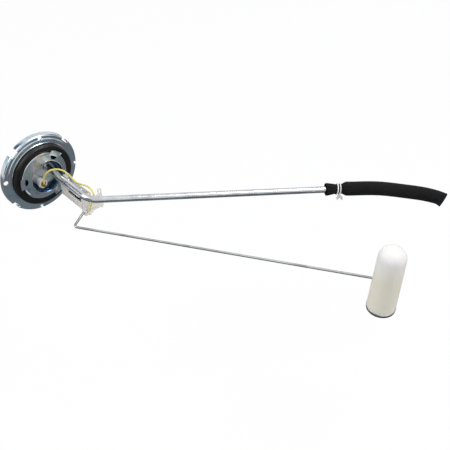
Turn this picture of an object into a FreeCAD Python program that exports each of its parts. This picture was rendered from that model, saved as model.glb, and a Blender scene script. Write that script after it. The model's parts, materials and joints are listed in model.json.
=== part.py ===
"""Fuel sending unit: a side-mounted tank sender with a pickup tube, strainer sock and float arm.

The frame is the unit's own: the origin lies on the axis of the mounting plate, in the plane of
its flange. +X points into the tank, +Z is up, and the float swings in upright planes along X.
"""
import FreeCAD, Part
import math
import os

from FreeCAD import Vector as V

# Sheet metal head
SHEET = 1.2
FLANGE_R = 41.8
SPIGOT_R = 32.5
SPIGOT_H = 6.5
SPIGOT_EDGE_R = 1.4
RECESS_R = 20.0
RECESS_FLOOR_R = 17.0
RECESS_DEPTH = 10.5
RECESS_Y = 4.0
RECESS_Z = -4.1
TAB_COUNT = 3
TAB_ANGLE = 50.0
TAB_WIDTH = 6.5
TAB_REACH = 5.4
TAB_HOLE_R = 4.6

# Lock ring
RING_T = 1.5
RING_OUTER_R = 51.5
RING_INNER_R = 36.0
RING_RIM = 12.0
RING_BEND_R = 2.6
RING_NOTCHES = 4
RING_NOTCH_ANGLE = 35.0
RING_NOTCH_W = 11.0
RING_HOLE_R = 3.0
SEAT_GAP = 0.05

# Seal
SEAL_W = 7.2
SEAL_GAP = 0.15
SEAL_ROUND = 2.2

# Pickup tube
TUBE_R = 4.0
TUBE_WALL = 0.8
TUBE_Y = 9.0
TUBE_Z = 5.0
TUBE_CORNER_X = 93.0
TUBE_YAW = 61.4
TUBE_PITCH = -8.9
TUBE_BEND_R = 20.0
TUBE_STUB = 42.0
TUBE_RUN = 328.0
BEAD_RISE = 0.7
BEAD_HALF = 1.6
BEAD_BEHIND_TIE = 7.0
BRAZE_LEG = 1.3

# Sender terminal
TERM_Y = -3.0
TERM_Z = -12.2
INSULATOR_R = 6.0
INSULATOR_H = 8.0
INSULATOR_FOOT_R = 4.9
INSULATOR_FOOT_H = 2.0
INSULATOR_RIM = 1.0
COLLAR_R = 3.8
WASHER_R = 6.4
WASHER_T = 2.4
STUD_R = 1.9
STUD_HEAD_R = 3.2
STUD_HEAD_T = 1.0
STUD_OUT = 9.5
STUD_GROOVE_W = 0.6
STUD_GROOVE_DEPTH = 0.4
STUD_CHAMFER = 0.5
NUT_R = 4.2
NUT_T = 3.0
EYE_T = 0.8
LEAD_R = 1.1
BARREL_R = 1.9
BARREL_L = 4.5
CLIP_T = 0.8
CLIP_W = 2.4
CLIP_H = 3.4
CLIP_GAP = 0.3

# Bracket
STRAP_X0 = 22.0
STRAP_X1 = 79.5
STRAP_T = 1.2
STRAP_CLEAR = 0.05
SHELF_TOP = -1.8
SHELF_INSET = 3.0
SHELF_Y1 = 35.0
SHELF_CUT = 5.0

# Resistor housing
BOX_X0 = 20.0
BOX_X1 = 70.0
BOX_Y0 = 16.3
BOX_Y1 = 37.5
BOX_H = 30.0
BOX_WALL = 1.6
BOX_EDGE_R = 1.5
LID_T = 1.6
LID_LIP = 2.5
LID_FIT = 0.1
WINDOW_X0 = 31.0
WINDOW_X1 = 66.0
WINDOW_Z0 = -18.5
WINDOW_Z1 = -7.0
RIB_COUNT = 5
RIB_T = 1.0
RIB_RISE = 0.8
RIB_INSET = 4.0
CATCH_W = 5.0
CATCH_T = 1.2
HOOK_L = 6.5
HOOK_T = 1.2
HOOK_TOOTH = 2.3
RIVET_R = 1.6
RIVET_HEAD_R = 3.0
RIVET_HEAD_T = 1.1
RIVET_PITCH = 28.0

# Pivot, hub and wiper
PIVOT_X = 66.0
PIVOT_Z = -32.0
WIRE_R = 1.5
PIVOT_CLEAR = 0.05
BUSH_R = 2.6
BUSH_FLANGE_R = 3.6
BUSH_FLANGE_T = 0.8
PIVOT_ROOM_R = 3.8
BOSS_WALL = 1.1
BOSS_RISE = 1.4
HUB_R = 3.0
HUB_L = 5.0
HUB_GAP = 0.5
WIPER_T = 0.5
WIPER_W = 2.6
WIPER_TIP_W = 2.0
WIPER_EYE = 0.4
WIPER_ANGLE = 137.0
WIPER_CRANK = 24.0
WIPER_KNEE_R = 11.0
CONTACT_R = 1.3
CONTACT_GAP = 0.3
SOCKET_R = 3.4
SOCKET_L = 6.0

# Resistor card
CARD_R = 26.0
CARD_T = 1.2
CARD_W = 9.0
CARD_A0 = 107.0
CARD_A1 = 175.0
WINDING_T = 0.5
WINDING_TURNS = 30
WINDING_DUTY = 0.62
WINDING_MARGIN = 3.0
CARD_FOOT_T = 2.8
CARD_FOOT_SPAN = 5.0

# Float arm and float
ARM_EXIT = 6.3
ELBOW_Y = -8.9
ELBOW_X = 76.5
ELBOW_Z = -35.4
ARM_YAW = 37.2
ARM_PITCH = -5.1
ARM_LENGTH = 380.0
ARM_INSERT = 11.0
ARM_BEND_R = 3.4
FLOAT_R = 17.5
FLOAT_ABOVE = 50.0
FLOAT_BELOW = 44.0
FLOAT_WALL = 1.5
FLOAT_BORE_CLEAR = 0.1
FLOAT_HUB_R = 4.5
FLOAT_TAPER = 0.6
CAP_T = 1.0
CAP_LIP = 3.5
CAP_ROLL = 0.9
CAP_SEAT = 0.5

# Strainer sock
SOCK_START = 292.0
SOCK_TIE_AT = 308.5
SOCK_BODY_AT = 322.0
SOCK_STRAIGHT = 30.0
SOCK_R = 7.5
SOCK_CURVE_R = 330.0
SOCK_CURVE_DEG = 17.0
SOCK_END_L = 6.0
SOCK_END_T = 3.4
SOCK_CLEAR = 0.3
SOCK_CLOTH = 1.2
SOCK_RUFF_R = 7.0
TIE_R = 1.1
TIE_TURNS = 2

# Route of the lead from its eye terminal to the housing's clip
LEAD_ROUTE = [
    (8.6, -3.7, -9.6), (10.2, -4.6, -3.5), (13.6, -4.9, 4.2), (17.6, -1.6, 11.6), (22.3, 5.3, 15.4),
    (27.6, 12.6, 14.0), (33.2, 17.6, 9.2), (40.2, 19.2, 4.0), (48.0, 19.8, 1.0), (56.4, 23.2, 0.8),
    (65.4, 26.4, 1.1), (73.4, 27.0, -3.2), (76.3, 25.4, -10.0), (76.2, 21.4, -16.0),
    (74.8, 18.4, -22.0), (74.0, 17.6, -28.0),
]

X_AXIS = V(1, 0, 0)
Y_AXIS = V(0, 1, 0)
Z_AXIS = V(0, 0, 1)


def polar(yaw, pitch):
    """Unit vector at a yaw about Z and a pitch above the horizontal."""
    level = math.cos(math.radians(pitch))
    turn = math.radians(yaw)
    return V(level * math.cos(turn), level * math.sin(turn), math.sin(math.radians(pitch)))


# Places worked out from the sizes above
BOX_Z1 = SHELF_TOP - STRAP_T
BOX_Z0 = BOX_Z1 - BOX_H
BOSS_R = PIVOT_ROOM_R + BOSS_WALL
FLOOR_X = SPIGOT_H - RECESS_DEPTH
TUBE_CORNER = V(TUBE_CORNER_X, TUBE_Y, TUBE_Z)
TUBE_DIR = polar(TUBE_YAW, TUBE_PITCH)
ELBOW = V(ELBOW_X, ELBOW_Y, ELBOW_Z)
ARM_DIR = polar(ARM_YAW, ARM_PITCH)
FLOAT_CENTRE = ELBOW + ARM_DIR * ARM_LENGTH
FLOAT_UP = (Z_AXIS - ARM_DIR * ARM_DIR.z).normalize()


def rod(start, direction, radius, length):
    """Solid round bar from a point along a direction."""
    return Part.makeCylinder(radius, length, start, direction)


def pipe(start, direction, outer, inner, length):
    """Round bar with a bore right through."""
    return rod(start, direction, outer, length).cut(rod(start, direction, inner, length))


def block(x0, x1, y0, y1, z0, z1):
    """Box between two corners."""
    return Part.makeBox(x1 - x0, y1 - y0, z1 - z0, V(x0, y0, z0))


def loop_face(points):
    """Flat face inside straight edges through the points."""
    return Part.Face(Part.makePolygon(points + [points[0]]))


def turned(profile, centre, axis):
    """Solid made by turning a closed (distance along the axis, radius) outline."""
    side = Z_AXIS if abs(axis.z) < 0.9 else Y_AXIS
    out = (side - axis * side.dot(axis)).normalize()
    face = loop_face([centre + axis * along + out * radius for along, radius in profile])
    return face.revolve(centre, axis, 360)


def rounded_path(points, radii):
    """Straight runs through the points, joined by tangent arcs of the given radii."""
    edges = []
    start = points[0]
    for before, corner, after, radius in zip(points, points[1:], points[2:], radii):
        inward = (corner - before).normalize()
        outward = (after - corner).normalize()
        turn = inward.getAngle(outward)
        reach = radius * math.tan(turn / 2)
        first = corner - inward * reach
        last = corner + outward * reach
        inside = (outward - inward).normalize()
        middle = corner + inside * (radius / math.cos(turn / 2) - radius)
        edges.append(Part.LineSegment(start, first).toShape())
        edges.append(Part.Arc(first, middle, last).toShape())
        start = last
    edges.append(Part.LineSegment(start, points[-1]).toShape())
    return Part.Wire(edges)


def swept_round(path, start, direction, radius):
    """Round bar along a path."""
    ring = Part.Wire(Part.makeCircle(radius, start, direction))
    return path.makePipeShell([ring], True, True)


def softened(shape, radius, chosen):
    """Fillet the edges that the test picks."""
    return shape.makeFillet(radius, [edge for edge in shape.Edges if chosen(edge)])


def around_x(shape, angle):
    """Copy of a shape turned about the plate's axis."""
    copy = shape.copy()
    copy.rotate(V(0, 0, 0), X_AXIS, angle)
    return copy


def arc_band(centre, inner, outer, a0, a1, y0, y1):
    """Band bent round an axis along Y, between two angles from +X towards +Z."""
    def at(radius, angle):
        turn = math.radians(angle)
        return centre + V(radius * math.cos(turn), 0, radius * math.sin(turn))

    half = (a0 + a1) / 2
    edges = [
        Part.Arc(at(outer, a0), at(outer, half), at(outer, a1)).toShape(),
        Part.LineSegment(at(outer, a1), at(inner, a1)).toShape(),
        Part.Arc(at(inner, a1), at(inner, half), at(inner, a0)).toShape(),
        Part.LineSegment(at(inner, a0), at(outer, a0)).toShape(),
    ]
    face = Part.Face(Part.Wire(edges))
    face.translate(V(0, y0 - centre.y, 0))
    return face.extrude(V(0, y1 - y0, 0))


# Head

def plate_shell():
    """Flange, spigot wall and raised face, turned from one sheet."""
    inner = SPIGOT_R - SHEET
    turn = SPIGOT_EDGE_R
    profile = [
        (-SHEET, inner), (-SHEET, FLANGE_R - 0.4), (-SHEET + 0.4, FLANGE_R), (-0.3, FLANGE_R),
        (0, FLANGE_R - 0.3), (0, SPIGOT_R), (SPIGOT_H - turn, SPIGOT_R),
        (SPIGOT_H - 0.3 * turn, SPIGOT_R - 0.3 * turn), (SPIGOT_H, SPIGOT_R - turn), (SPIGOT_H, 0),
        (SPIGOT_H - SHEET, 0), (SPIGOT_H - SHEET, inner - 0.4), (SPIGOT_H - SHEET - 0.4, inner),
    ]
    return turned(profile, V(0, 0, 0), X_AXIS)


def plate_recess():
    """Deep off-centre cup that carries the tube and the terminal."""
    top = SPIGOT_H
    floor = FLOOR_X
    profile = [
        (top, RECESS_R + 2.2), (top, RECESS_R + 0.8), (top - 0.8, RECESS_R),
        (floor + 1.6, RECESS_FLOOR_R + 0.5), (floor, RECESS_FLOOR_R - 1.2), (floor, 0),
        (floor - SHEET, 0), (floor - SHEET, RECESS_FLOOR_R - 0.2), (floor + 0.6, RECESS_FLOOR_R + 1.6),
        (top - SHEET - 0.6, RECESS_R + 1.2), (top - SHEET, RECESS_R + 2.2),
    ]
    return turned(profile, V(0, RECESS_Y, RECESS_Z), X_AXIS)


def retaining_tab():
    """Lug lanced out of the raised face, reaching over the seal."""
    half = TAB_WIDTH / 2
    y0 = SPIGOT_R - 4.5
    y1 = SPIGOT_R + TAB_REACH
    profile = [
        V(SPIGOT_H - SHEET, y0, -half), V(SPIGOT_H, y0, -half), V(SPIGOT_H + 0.9, SPIGOT_R - 1.5, -half),
        V(SPIGOT_H + 0.9, y1, -half), V(SPIGOT_H + 0.9 - SHEET * 0.7, y1, -half),
        V(SPIGOT_H + 0.9 - SHEET * 0.7, SPIGOT_R - 0.8, -half), V(SPIGOT_H - SHEET, SPIGOT_R - 1.8, -half),
    ]
    lug = loop_face(profile).extrude(V(0, 0, TAB_WIDTH))
    return softened(lug, 1.5, lambda e: abs(e.BoundBox.YMin - y1) < 0.01 and e.BoundBox.ZLength < 0.01
                    and e.BoundBox.XLength > 0.5)


def mounting_plate():
    """Pressed plate: flange, spigot, recess, tabs, tab holes and the two floor holes."""
    plate = plate_shell()
    mouth = rod(V(SPIGOT_H - 3, RECESS_Y, RECESS_Z), X_AXIS, RECESS_R + 1.6, 6)
    plate = plate.cut(mouth).fuse(plate_recess())
    hole = rod(V(SPIGOT_H - 3, SPIGOT_R - TAB_HOLE_R - 1.2, -TAB_WIDTH / 2 - 2.2), X_AXIS, TAB_HOLE_R, 6)
    for step in range(TAB_COUNT):
        angle = TAB_ANGLE + step * 360.0 / TAB_COUNT
        plate = plate.fuse(around_x(retaining_tab(), angle))
        if step:
            plate = plate.cut(around_x(hole, angle))
    plate = plate.cut(rod(V(FLOOR_X - 5, TUBE_Y, TUBE_Z), X_AXIS, TUBE_R, 10))
    plate = plate.cut(rod(V(FLOOR_X - 5, TERM_Y, TERM_Z), X_AXIS, COLLAR_R, 10))
    return plate.removeSplitter()


def lock_ring():
    """Flat ring with a rim turned back, four driving notches and four relief holes."""
    front = -SHEET - SEAT_GAP
    back = front - RING_T
    outer = RING_OUTER_R
    bend = RING_BEND_R
    steps = 5
    arc_out = [(front - bend + bend * math.cos(math.radians(90.0 * i / steps)),
                outer - bend + bend * math.sin(math.radians(90.0 * i / steps))) for i in range(steps + 1)]
    small = bend - RING_T
    arc_in = [(front - bend + small * math.cos(math.radians(90.0 * i / steps)),
               outer - bend + small * math.sin(math.radians(90.0 * i / steps))) for i in range(steps, -1, -1)]
    profile = [(back, RING_INNER_R), (front, RING_INNER_R)] + arc_out
    profile += [(front - RING_RIM, outer), (front - RING_RIM, outer - RING_T)] + arc_in
    ring = turned(profile, V(0, 0, 0), X_AXIS)
    half = RING_NOTCH_W / 2
    notch = block(front - RING_RIM - 1, front + 1, outer - 3.6, outer + 2, -half, half)
    relief = rod(V(front + 1, outer - 3.4, 0), V(-1, 0, 0), RING_HOLE_R, 6)
    spacing = 360.0 / RING_NOTCHES
    for step in range(RING_NOTCHES):
        ring = ring.cut(around_x(notch, RING_NOTCH_ANGLE + step * spacing))
        ring = ring.cut(around_x(relief, RING_NOTCH_ANGLE + (step + 0.5) * spacing))
    return ring


def seal_ring():
    """Thick rubber ring round the spigot, on the flange."""
    inner = SPIGOT_R + SEAL_GAP
    height = SPIGOT_H - 0.4
    outer = inner + SEAL_W
    ring = turned([(0, inner), (0, outer), (height, outer), (height, inner)], V(0, 0, 0), X_AXIS)
    return softened(ring, SEAL_ROUND, lambda e: e.BoundBox.XLength < 0.01)


# Pickup tube

def tube_path(extra=0.0):
    """Centre line of the tube, longer by the extra length at both ends."""
    points = [
        V(-TUBE_STUB - extra, TUBE_Y, TUBE_Z),
        TUBE_CORNER,
        TUBE_CORNER + TUBE_DIR * (TUBE_RUN + extra),
    ]
    return rounded_path(points, [TUBE_BEND_R])


def pickup_tube():
    """One tube from the hose stub to the open end in the sock, beaded at the plate and at the tie."""
    tube = swept_round(tube_path(), V(-TUBE_STUB, TUBE_Y, TUBE_Z), X_AXIS, TUBE_R)
    bead = [
        (-BEAD_HALF, TUBE_R - 0.2), (-BEAD_HALF, TUBE_R), (-BEAD_HALF / 2, TUBE_R + BEAD_RISE),
        (BEAD_HALF / 2, TUBE_R + BEAD_RISE), (BEAD_HALF, TUBE_R), (BEAD_HALF, TUBE_R - 0.2),
    ]
    tube = tube.fuse(turned(bead, TUBE_CORNER + TUBE_DIR * (SOCK_TIE_AT + BEAD_BEHIND_TIE), TUBE_DIR))
    tube = tube.fuse(turned(bead, V(FLOOR_X - SHEET - BEAD_HALF, TUBE_Y, TUBE_Z), X_AXIS))
    bore = swept_round(tube_path(1.0), V(-TUBE_STUB - 1, TUBE_Y, TUBE_Z), X_AXIS, TUBE_R - TUBE_WALL)
    return tube.cut(bore)


def tube_braze():
    """Brazed fillet between the tube and the recess floor."""
    profile = [
        (FLOOR_X, TUBE_R), (FLOOR_X, TUBE_R + BRAZE_LEG),
        (FLOOR_X + BRAZE_LEG * 0.35, TUBE_R + BRAZE_LEG * 0.4), (FLOOR_X + BRAZE_LEG, TUBE_R),
    ]
    return turned(profile, V(0, TUBE_Y, TUBE_Z), X_AXIS)


# Terminal

def terminal_insulator():
    """Moulded insulator with a narrow foot on the recess floor, a collar through it and a dished top."""
    top = FLOOR_X + INSULATOR_H
    rim = top + INSULATOR_RIM
    foot = FLOOR_X + INSULATOR_FOOT_H
    step = INSULATOR_R - INSULATOR_FOOT_R
    profile = [
        (FLOOR_X - SHEET, STUD_R), (FLOOR_X - SHEET, COLLAR_R), (FLOOR_X, COLLAR_R),
        (FLOOR_X, INSULATOR_FOOT_R), (foot, INSULATOR_FOOT_R), (foot + step, INSULATOR_R),
        (rim - 0.6, INSULATOR_R), (rim, INSULATOR_R - 0.6), (rim, INSULATOR_R - 1.4),
        (top + 0.6, STUD_HEAD_R + 0.6), (top, STUD_HEAD_R + 0.3), (top, STUD_R),
    ]
    return turned(profile, V(0, TERM_Y, TERM_Z), X_AXIS)


def insulator_washer():
    """Washer that insulates the nut from the plate's outside."""
    back = FLOOR_X - SHEET
    return pipe(V(back, TERM_Y, TERM_Z), V(-1, 0, 0), WASHER_R, STUD_R, WASHER_T)


def terminal_stud():
    """Headed stud through the insulator, with its end for the gauge wire outside the groove."""
    top = FLOOR_X + INSULATOR_H
    washer_back = FLOOR_X - SHEET - WASHER_T
    outside = washer_back - STUD_OUT
    groove = washer_back - NUT_T
    neck = STUD_R - STUD_GROOVE_DEPTH
    profile = [
        (outside, 0), (outside, STUD_R - STUD_CHAMFER), (outside + STUD_CHAMFER, STUD_R),
        (groove - STUD_GROOVE_W, STUD_R), (groove - STUD_GROOVE_W, neck), (groove, neck), (groove, STUD_R),
        (top, STUD_R), (top, STUD_HEAD_R), (top + STUD_HEAD_T, STUD_HEAD_R), (top + STUD_HEAD_T, 0),
    ]
    return turned(profile, V(0, TERM_Y, TERM_Z), X_AXIS)


def terminal_nut():
    """Hexagon nut on the stud, against the washer."""
    back = FLOOR_X - SHEET - WASHER_T
    turns = [math.radians(60 * i) for i in range(6)]
    corners = [V(back, TERM_Y + NUT_R * math.cos(turn), TERM_Z + NUT_R * math.sin(turn)) for turn in turns]
    nut = loop_face(corners).extrude(V(-NUT_T, 0, 0))
    return nut.cut(rod(V(back, TERM_Y, TERM_Z), V(-1, 0, 0), STUD_R, NUT_T))


def lead_eye():
    """Eye under the lead's upper end: a round tag and its crimped barrel."""
    base = FLOOR_X + INSULATOR_H + STUD_HEAD_T
    tag = rod(V(base, TERM_Y, TERM_Z), X_AXIS, STUD_HEAD_R, EYE_T)
    start = V(*LEAD_ROUTE[0])
    along = (V(*LEAD_ROUTE[1]) - start).normalize()
    barrel = rod(start - along * BARREL_L, along, BARREL_R, BARREL_L)
    post = rod(V(base, TERM_Y, TERM_Z), X_AXIS, STUD_R, start.x - base - 0.6)
    return tag.fuse(post).fuse(barrel)


def lead_radii():
    """Bend radii of the lead: as large as the two runs beside each point allow."""
    points = [V(*place) for place in LEAD_ROUTE]
    radii = []
    for before, corner, after in zip(points, points[1:], points[2:]):
        turn = (corner - before).getAngle(after - corner)
        shorter = min((corner - before).Length, (after - corner).Length)
        radii.append(0.45 * shorter / math.tan(turn / 2))
    return radii


def lead_wire():
    """Insulated lead from the eye to the housing's clip."""
    points = [V(*place) for place in LEAD_ROUTE]
    path = rounded_path(points, lead_radii())
    lead = swept_round(path, points[0], (points[1] - points[0]).normalize(), LEAD_R)
    print("lead radii", [round(radius, 1) for radius in lead_radii()])
    print("lead length", round(path.Length, 2), "volume", round(lead.Volume, 2),
          "expected", round(path.Length * math.pi * LEAD_R ** 2, 2))
    return lead


def lead_clip():
    """Crimped clip that holds the lead's lower end on the housing's end wall."""
    end = V(*LEAD_ROUTE[-1])
    into = (end - V(*LEAD_ROUTE[-2])).normalize()
    barrel = rod(end, into, BARREL_R, BARREL_L)
    overhang = max(BOSS_R ** 2 - (BOX_X1 - PIVOT_X) ** 2, 0)
    z0 = PIVOT_Z + math.sqrt(overhang) + CLIP_GAP
    y0 = end.y - CLIP_W / 2
    blade = block(BOX_X1, BOX_X1 + CLIP_T, y0, y0 + CLIP_W, z0, z0 + CLIP_H)
    neck = block(BOX_X1, end.x, end.y - CLIP_T / 2, end.y + CLIP_T / 2, z0, end.z)
    return barrel.fuse(blade).fuse(neck)


# Bracket and housing

def sender_bracket():
    """Strap folded over the tube, with a leg down to the shelf that holds the housing."""
    inner = TUBE_R + STRAP_CLEAR
    outer = inner + STRAP_T
    centre = V(STRAP_X0, TUBE_Y, TUBE_Z)

    def at(radius, angle):
        return centre + V(0, radius * math.cos(math.radians(angle)), radius * math.sin(math.radians(angle)))

    foot = V(STRAP_X0, TUBE_Y + inner, SHELF_TOP)
    bend = STRAP_T * 0.6
    mid = foot + V(0, STRAP_T * 0.293, -STRAP_T * 0.707)
    edges = [
        Part.Arc(at(outer, 195), at(outer, 95), at(outer, 0)).toShape(),
        Part.LineSegment(at(outer, 0), foot + V(0, STRAP_T, bend)).toShape(),
        Part.Arc(foot + V(0, STRAP_T, bend), foot + V(0, STRAP_T + bend * 0.293, bend * 0.293),
                 foot + V(0, STRAP_T + bend, 0)).toShape(),
        Part.LineSegment(foot + V(0, STRAP_T + bend, 0), V(STRAP_X0, SHELF_Y1, SHELF_TOP)).toShape(),
        Part.LineSegment(V(STRAP_X0, SHELF_Y1, SHELF_TOP), V(STRAP_X0, SHELF_Y1, BOX_Z1)).toShape(),
        Part.LineSegment(V(STRAP_X0, SHELF_Y1, BOX_Z1), foot + V(0, STRAP_T, -STRAP_T)).toShape(),
        Part.Arc(foot + V(0, STRAP_T, -STRAP_T), mid, foot).toShape(),
        Part.LineSegment(foot, at(inner, 0)).toShape(),
        Part.Arc(at(inner, 0), at(inner, 95), at(inner, 195)).toShape(),
        Part.LineSegment(at(inner, 195), at(outer, 195)).toShape(),
    ]
    bracket = Part.Face(Part.Wire(edges)).extrude(V(STRAP_X1 - STRAP_X0, 0, 0))
    low = TUBE_Z - TUBE_R - 1.0
    front = block(BOX_X1 - SHELF_INSET, STRAP_X1 + 1, TUBE_Y, SHELF_Y1 + 1, BOX_Z1 - 1, low)
    rear = block(STRAP_X0 - 1, BOX_X0 + SHELF_INSET + 3, TUBE_Y, SHELF_Y1 + 1, BOX_Z1 - 1, low)
    bracket = bracket.cut(front).cut(rear)
    for x, side in ((BOX_X1 - SHELF_INSET, -1), (BOX_X0 + SHELF_INSET + 3, 1)):
        corner = [V(x, SHELF_Y1 - SHELF_CUT, BOX_Z1 - 1), V(x, SHELF_Y1 + 1, BOX_Z1 - 1),
                  V(x + side * (SHELF_CUT + 1), SHELF_Y1 + 1, BOX_Z1 - 1)]
        bracket = bracket.cut(loop_face(corner).extrude(V(0, 0, STRAP_T + 2)))
    for place in rivet_places():
        bracket = bracket.cut(rod(place + V(0, 0, -3), Z_AXIS, RIVET_R, 6))
    return bracket


def rivet_places():
    """Centres of the two rivets, on the shelf's upper face."""
    middle = (BOX_X0 + BOX_X1) / 2
    y = (BOX_Y0 + BOX_Y1) / 2 + 1.0
    return [V(middle + side * RIVET_PITCH / 2, y, SHELF_TOP) for side in (-1, 1)]


def housing_rivets():
    """Two round-headed rivets through the shelf and the housing's roof."""
    rivets = []
    depth = STRAP_T + BOX_WALL
    for place in rivet_places():
        profile = [
            (-depth - 0.8, 0), (-depth - 0.8, RIVET_HEAD_R - 0.6), (-depth, RIVET_HEAD_R - 0.6),
            (-depth, RIVET_R), (0, RIVET_R), (0, RIVET_HEAD_R), (RIVET_HEAD_T * 0.5, RIVET_HEAD_R * 0.85),
            (RIVET_HEAD_T, RIVET_HEAD_R * 0.4), (RIVET_HEAD_T, 0),
        ]
        rivets.append(turned(profile, place, Z_AXIS))
    return Part.makeCompound(rivets)


def rheostat_housing():
    """Moulded box, open at the back, with a window, ribs, a pivot boss and two lid catches."""
    box = block(BOX_X0, BOX_X1, BOX_Y0, BOX_Y1, BOX_Z0, BOX_Z1)
    box = softened(box, BOX_EDGE_R, lambda e: e.BoundBox.YLength > 1)
    box = softened(box, 0.8, lambda e: e.BoundBox.YMax < BOX_Y0 + 0.01)
    boss = rod(V(PIVOT_X, BOX_Y0 - BOSS_RISE, PIVOT_Z), Y_AXIS, BOSS_R, BOSS_RISE + BOX_Y1 - BOX_Y0)
    box = box.fuse(boss)
    wall = BOX_WALL
    hollow = block(BOX_X0 + wall, BOX_X1 - wall, BOX_Y0 + wall, BOX_Y1 + 1, BOX_Z0 + wall, BOX_Z1 - wall)
    hollow = hollow.fuse(rod(V(PIVOT_X, BOX_Y0 + wall, PIVOT_Z), Y_AXIS, PIVOT_ROOM_R, BOX_Y1))
    box = box.cut(hollow)
    window = block(WINDOW_X0, WINDOW_X1, BOX_Y0 - 1, BOX_Y0 + wall + 0.5, WINDOW_Z0, WINDOW_Z1)
    window = softened(window, 2.0, lambda e: e.BoundBox.YLength > 1)
    box = box.cut(window)
    pitch = (BOX_X1 - BOX_X0 - 2 * RIB_INSET - 8.0) / (RIB_COUNT - 1)
    for step in range(RIB_COUNT):
        x = BOX_X0 + RIB_INSET + step * pitch
        rib = block(x, x + RIB_T, BOX_Y0 - RIB_RISE, BOX_Y0 + 0.5, BOX_Z0 + 2.2, WINDOW_Z0 - 2.4)
        box = box.fuse(rib)
    for x in catch_places():
        box = box.fuse(block(x, x + CATCH_W, BOX_Y1 - 4.0, BOX_Y1 - 1.6, BOX_Z0 - CATCH_T, BOX_Z0 + 0.5))
    for place in rivet_places():
        box = box.cut(rod(place + V(0, 0, -6), Z_AXIS, RIVET_R, 8))
    box = box.cut(rod(V(PIVOT_X, BOX_Y0 - 3, PIVOT_Z), Y_AXIS, BUSH_R, 6))
    return box.removeSplitter()


def catch_places():
    """Left edges of the lid's two snap hooks."""
    return [BOX_X0 + 6.0, BOX_X1 - 18.0 - CATCH_W]


def housing_lid():
    """Snap-on lid with a locating lip, hooks and the socket for the pivot's inner end."""
    lid = block(BOX_X0, BOX_X1, BOX_Y1, BOX_Y1 + LID_T, BOX_Z0, BOX_Z1)
    lid = softened(lid, BOX_EDGE_R, lambda e: abs(e.BoundBox.YLength - LID_T) < 0.01)
    lid = lid.fuse(rod(V(PIVOT_X, BOX_Y1, PIVOT_Z), Y_AXIS, BOSS_R, LID_T))
    edge = BOX_WALL + LID_FIT
    lip = block(BOX_X0 + edge, BOX_X1 - edge, BOX_Y1 - LID_LIP, BOX_Y1, BOX_Z0 + edge, BOX_Z1 - edge)
    core = block(BOX_X0 + edge + 1.2, BOX_X1 - edge - 1.2, BOX_Y1 - LID_LIP - 1, BOX_Y1,
                 BOX_Z0 + edge + 1.2, BOX_Z1 - edge - 1.2)
    clear = rod(V(PIVOT_X, BOX_Y1 - LID_LIP - 1, PIVOT_Z), Y_AXIS, BOSS_R + 0.4, LID_LIP + 1)
    lid = lid.fuse(lip.cut(core).cut(clear))
    low = BOX_Z0 - CATCH_T - 0.1 - HOOK_T
    for x in catch_places():
        arm = block(x, x + CATCH_W, BOX_Y1 - HOOK_L, BOX_Y1 + LID_T, low, low + HOOK_T)
        root = block(x, x + CATCH_W, BOX_Y1, BOX_Y1 + LID_T, low, BOX_Z0 + 0.5)
        tooth = block(x, x + CATCH_W, BOX_Y1 - HOOK_L, BOX_Y1 - HOOK_L + HOOK_TOOTH, low, BOX_Z0 - 0.3)
        lid = lid.fuse(arm).fuse(root).fuse(tooth)
    for z in (BOX_Z1 - CATCH_W, BOX_Z0 + CATCH_W):
        hook = block(BOX_X1, BOX_X1 + CATCH_T, BOX_Y1 + LID_T - 2.6, BOX_Y1 + LID_T, z - 1.5, z + 1.5)
        lid = lid.fuse(hook)
    socket = rod(V(PIVOT_X, BOX_Y1 - SOCKET_L, PIVOT_Z), Y_AXIS, SOCKET_R, SOCKET_L + 0.5)
    bore = rod(V(PIVOT_X, BOX_Y1 - SOCKET_L, PIVOT_Z), Y_AXIS, WIRE_R + PIVOT_CLEAR, SOCKET_L)
    return lid.fuse(socket).cut(bore).removeSplitter()


def pivot_bush():
    """Flanged sleeve in the housing's boss, round the pivot wire."""
    front = BOX_Y0 - BOSS_RISE
    bore = WIRE_R + PIVOT_CLEAR
    length = BOSS_RISE + BOX_WALL
    profile = [
        (-BUSH_FLANGE_T, bore), (-BUSH_FLANGE_T, BUSH_FLANGE_R), (0, BUSH_FLANGE_R), (0, BUSH_R),
        (length, BUSH_R), (length, bore),
    ]
    return turned(profile, V(PIVOT_X, front, PIVOT_Z), Y_AXIS)


# Resistor and wiper

def card_front():
    """Y of the resistor card's edge that the contact rides on."""
    return BOX_Y0 + BOX_WALL + HUB_GAP + HUB_L + CONTACT_GAP + 0.4


def resistor_card():
    """Insulating card bent round the pivot, with a foot at each end on the lid."""
    centre = V(PIVOT_X, 0, PIVOT_Z)
    half = CARD_T / 2
    y0 = card_front() + WINDING_T
    card = arc_band(centre, CARD_R - half, CARD_R + half, CARD_A0, CARD_A1, y0, y0 + CARD_W)
    reach = CARD_FOOT_T / 2
    for start in (CARD_A0 + 0.5, CARD_A1 - 0.5 - CARD_FOOT_SPAN):
        end = start + CARD_FOOT_SPAN
        foot = arc_band(centre, CARD_R - reach, CARD_R + reach, start, end, y0 + CARD_W - 0.5, BOX_Y1)
        card = card.fuse(foot)
    return card


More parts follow.
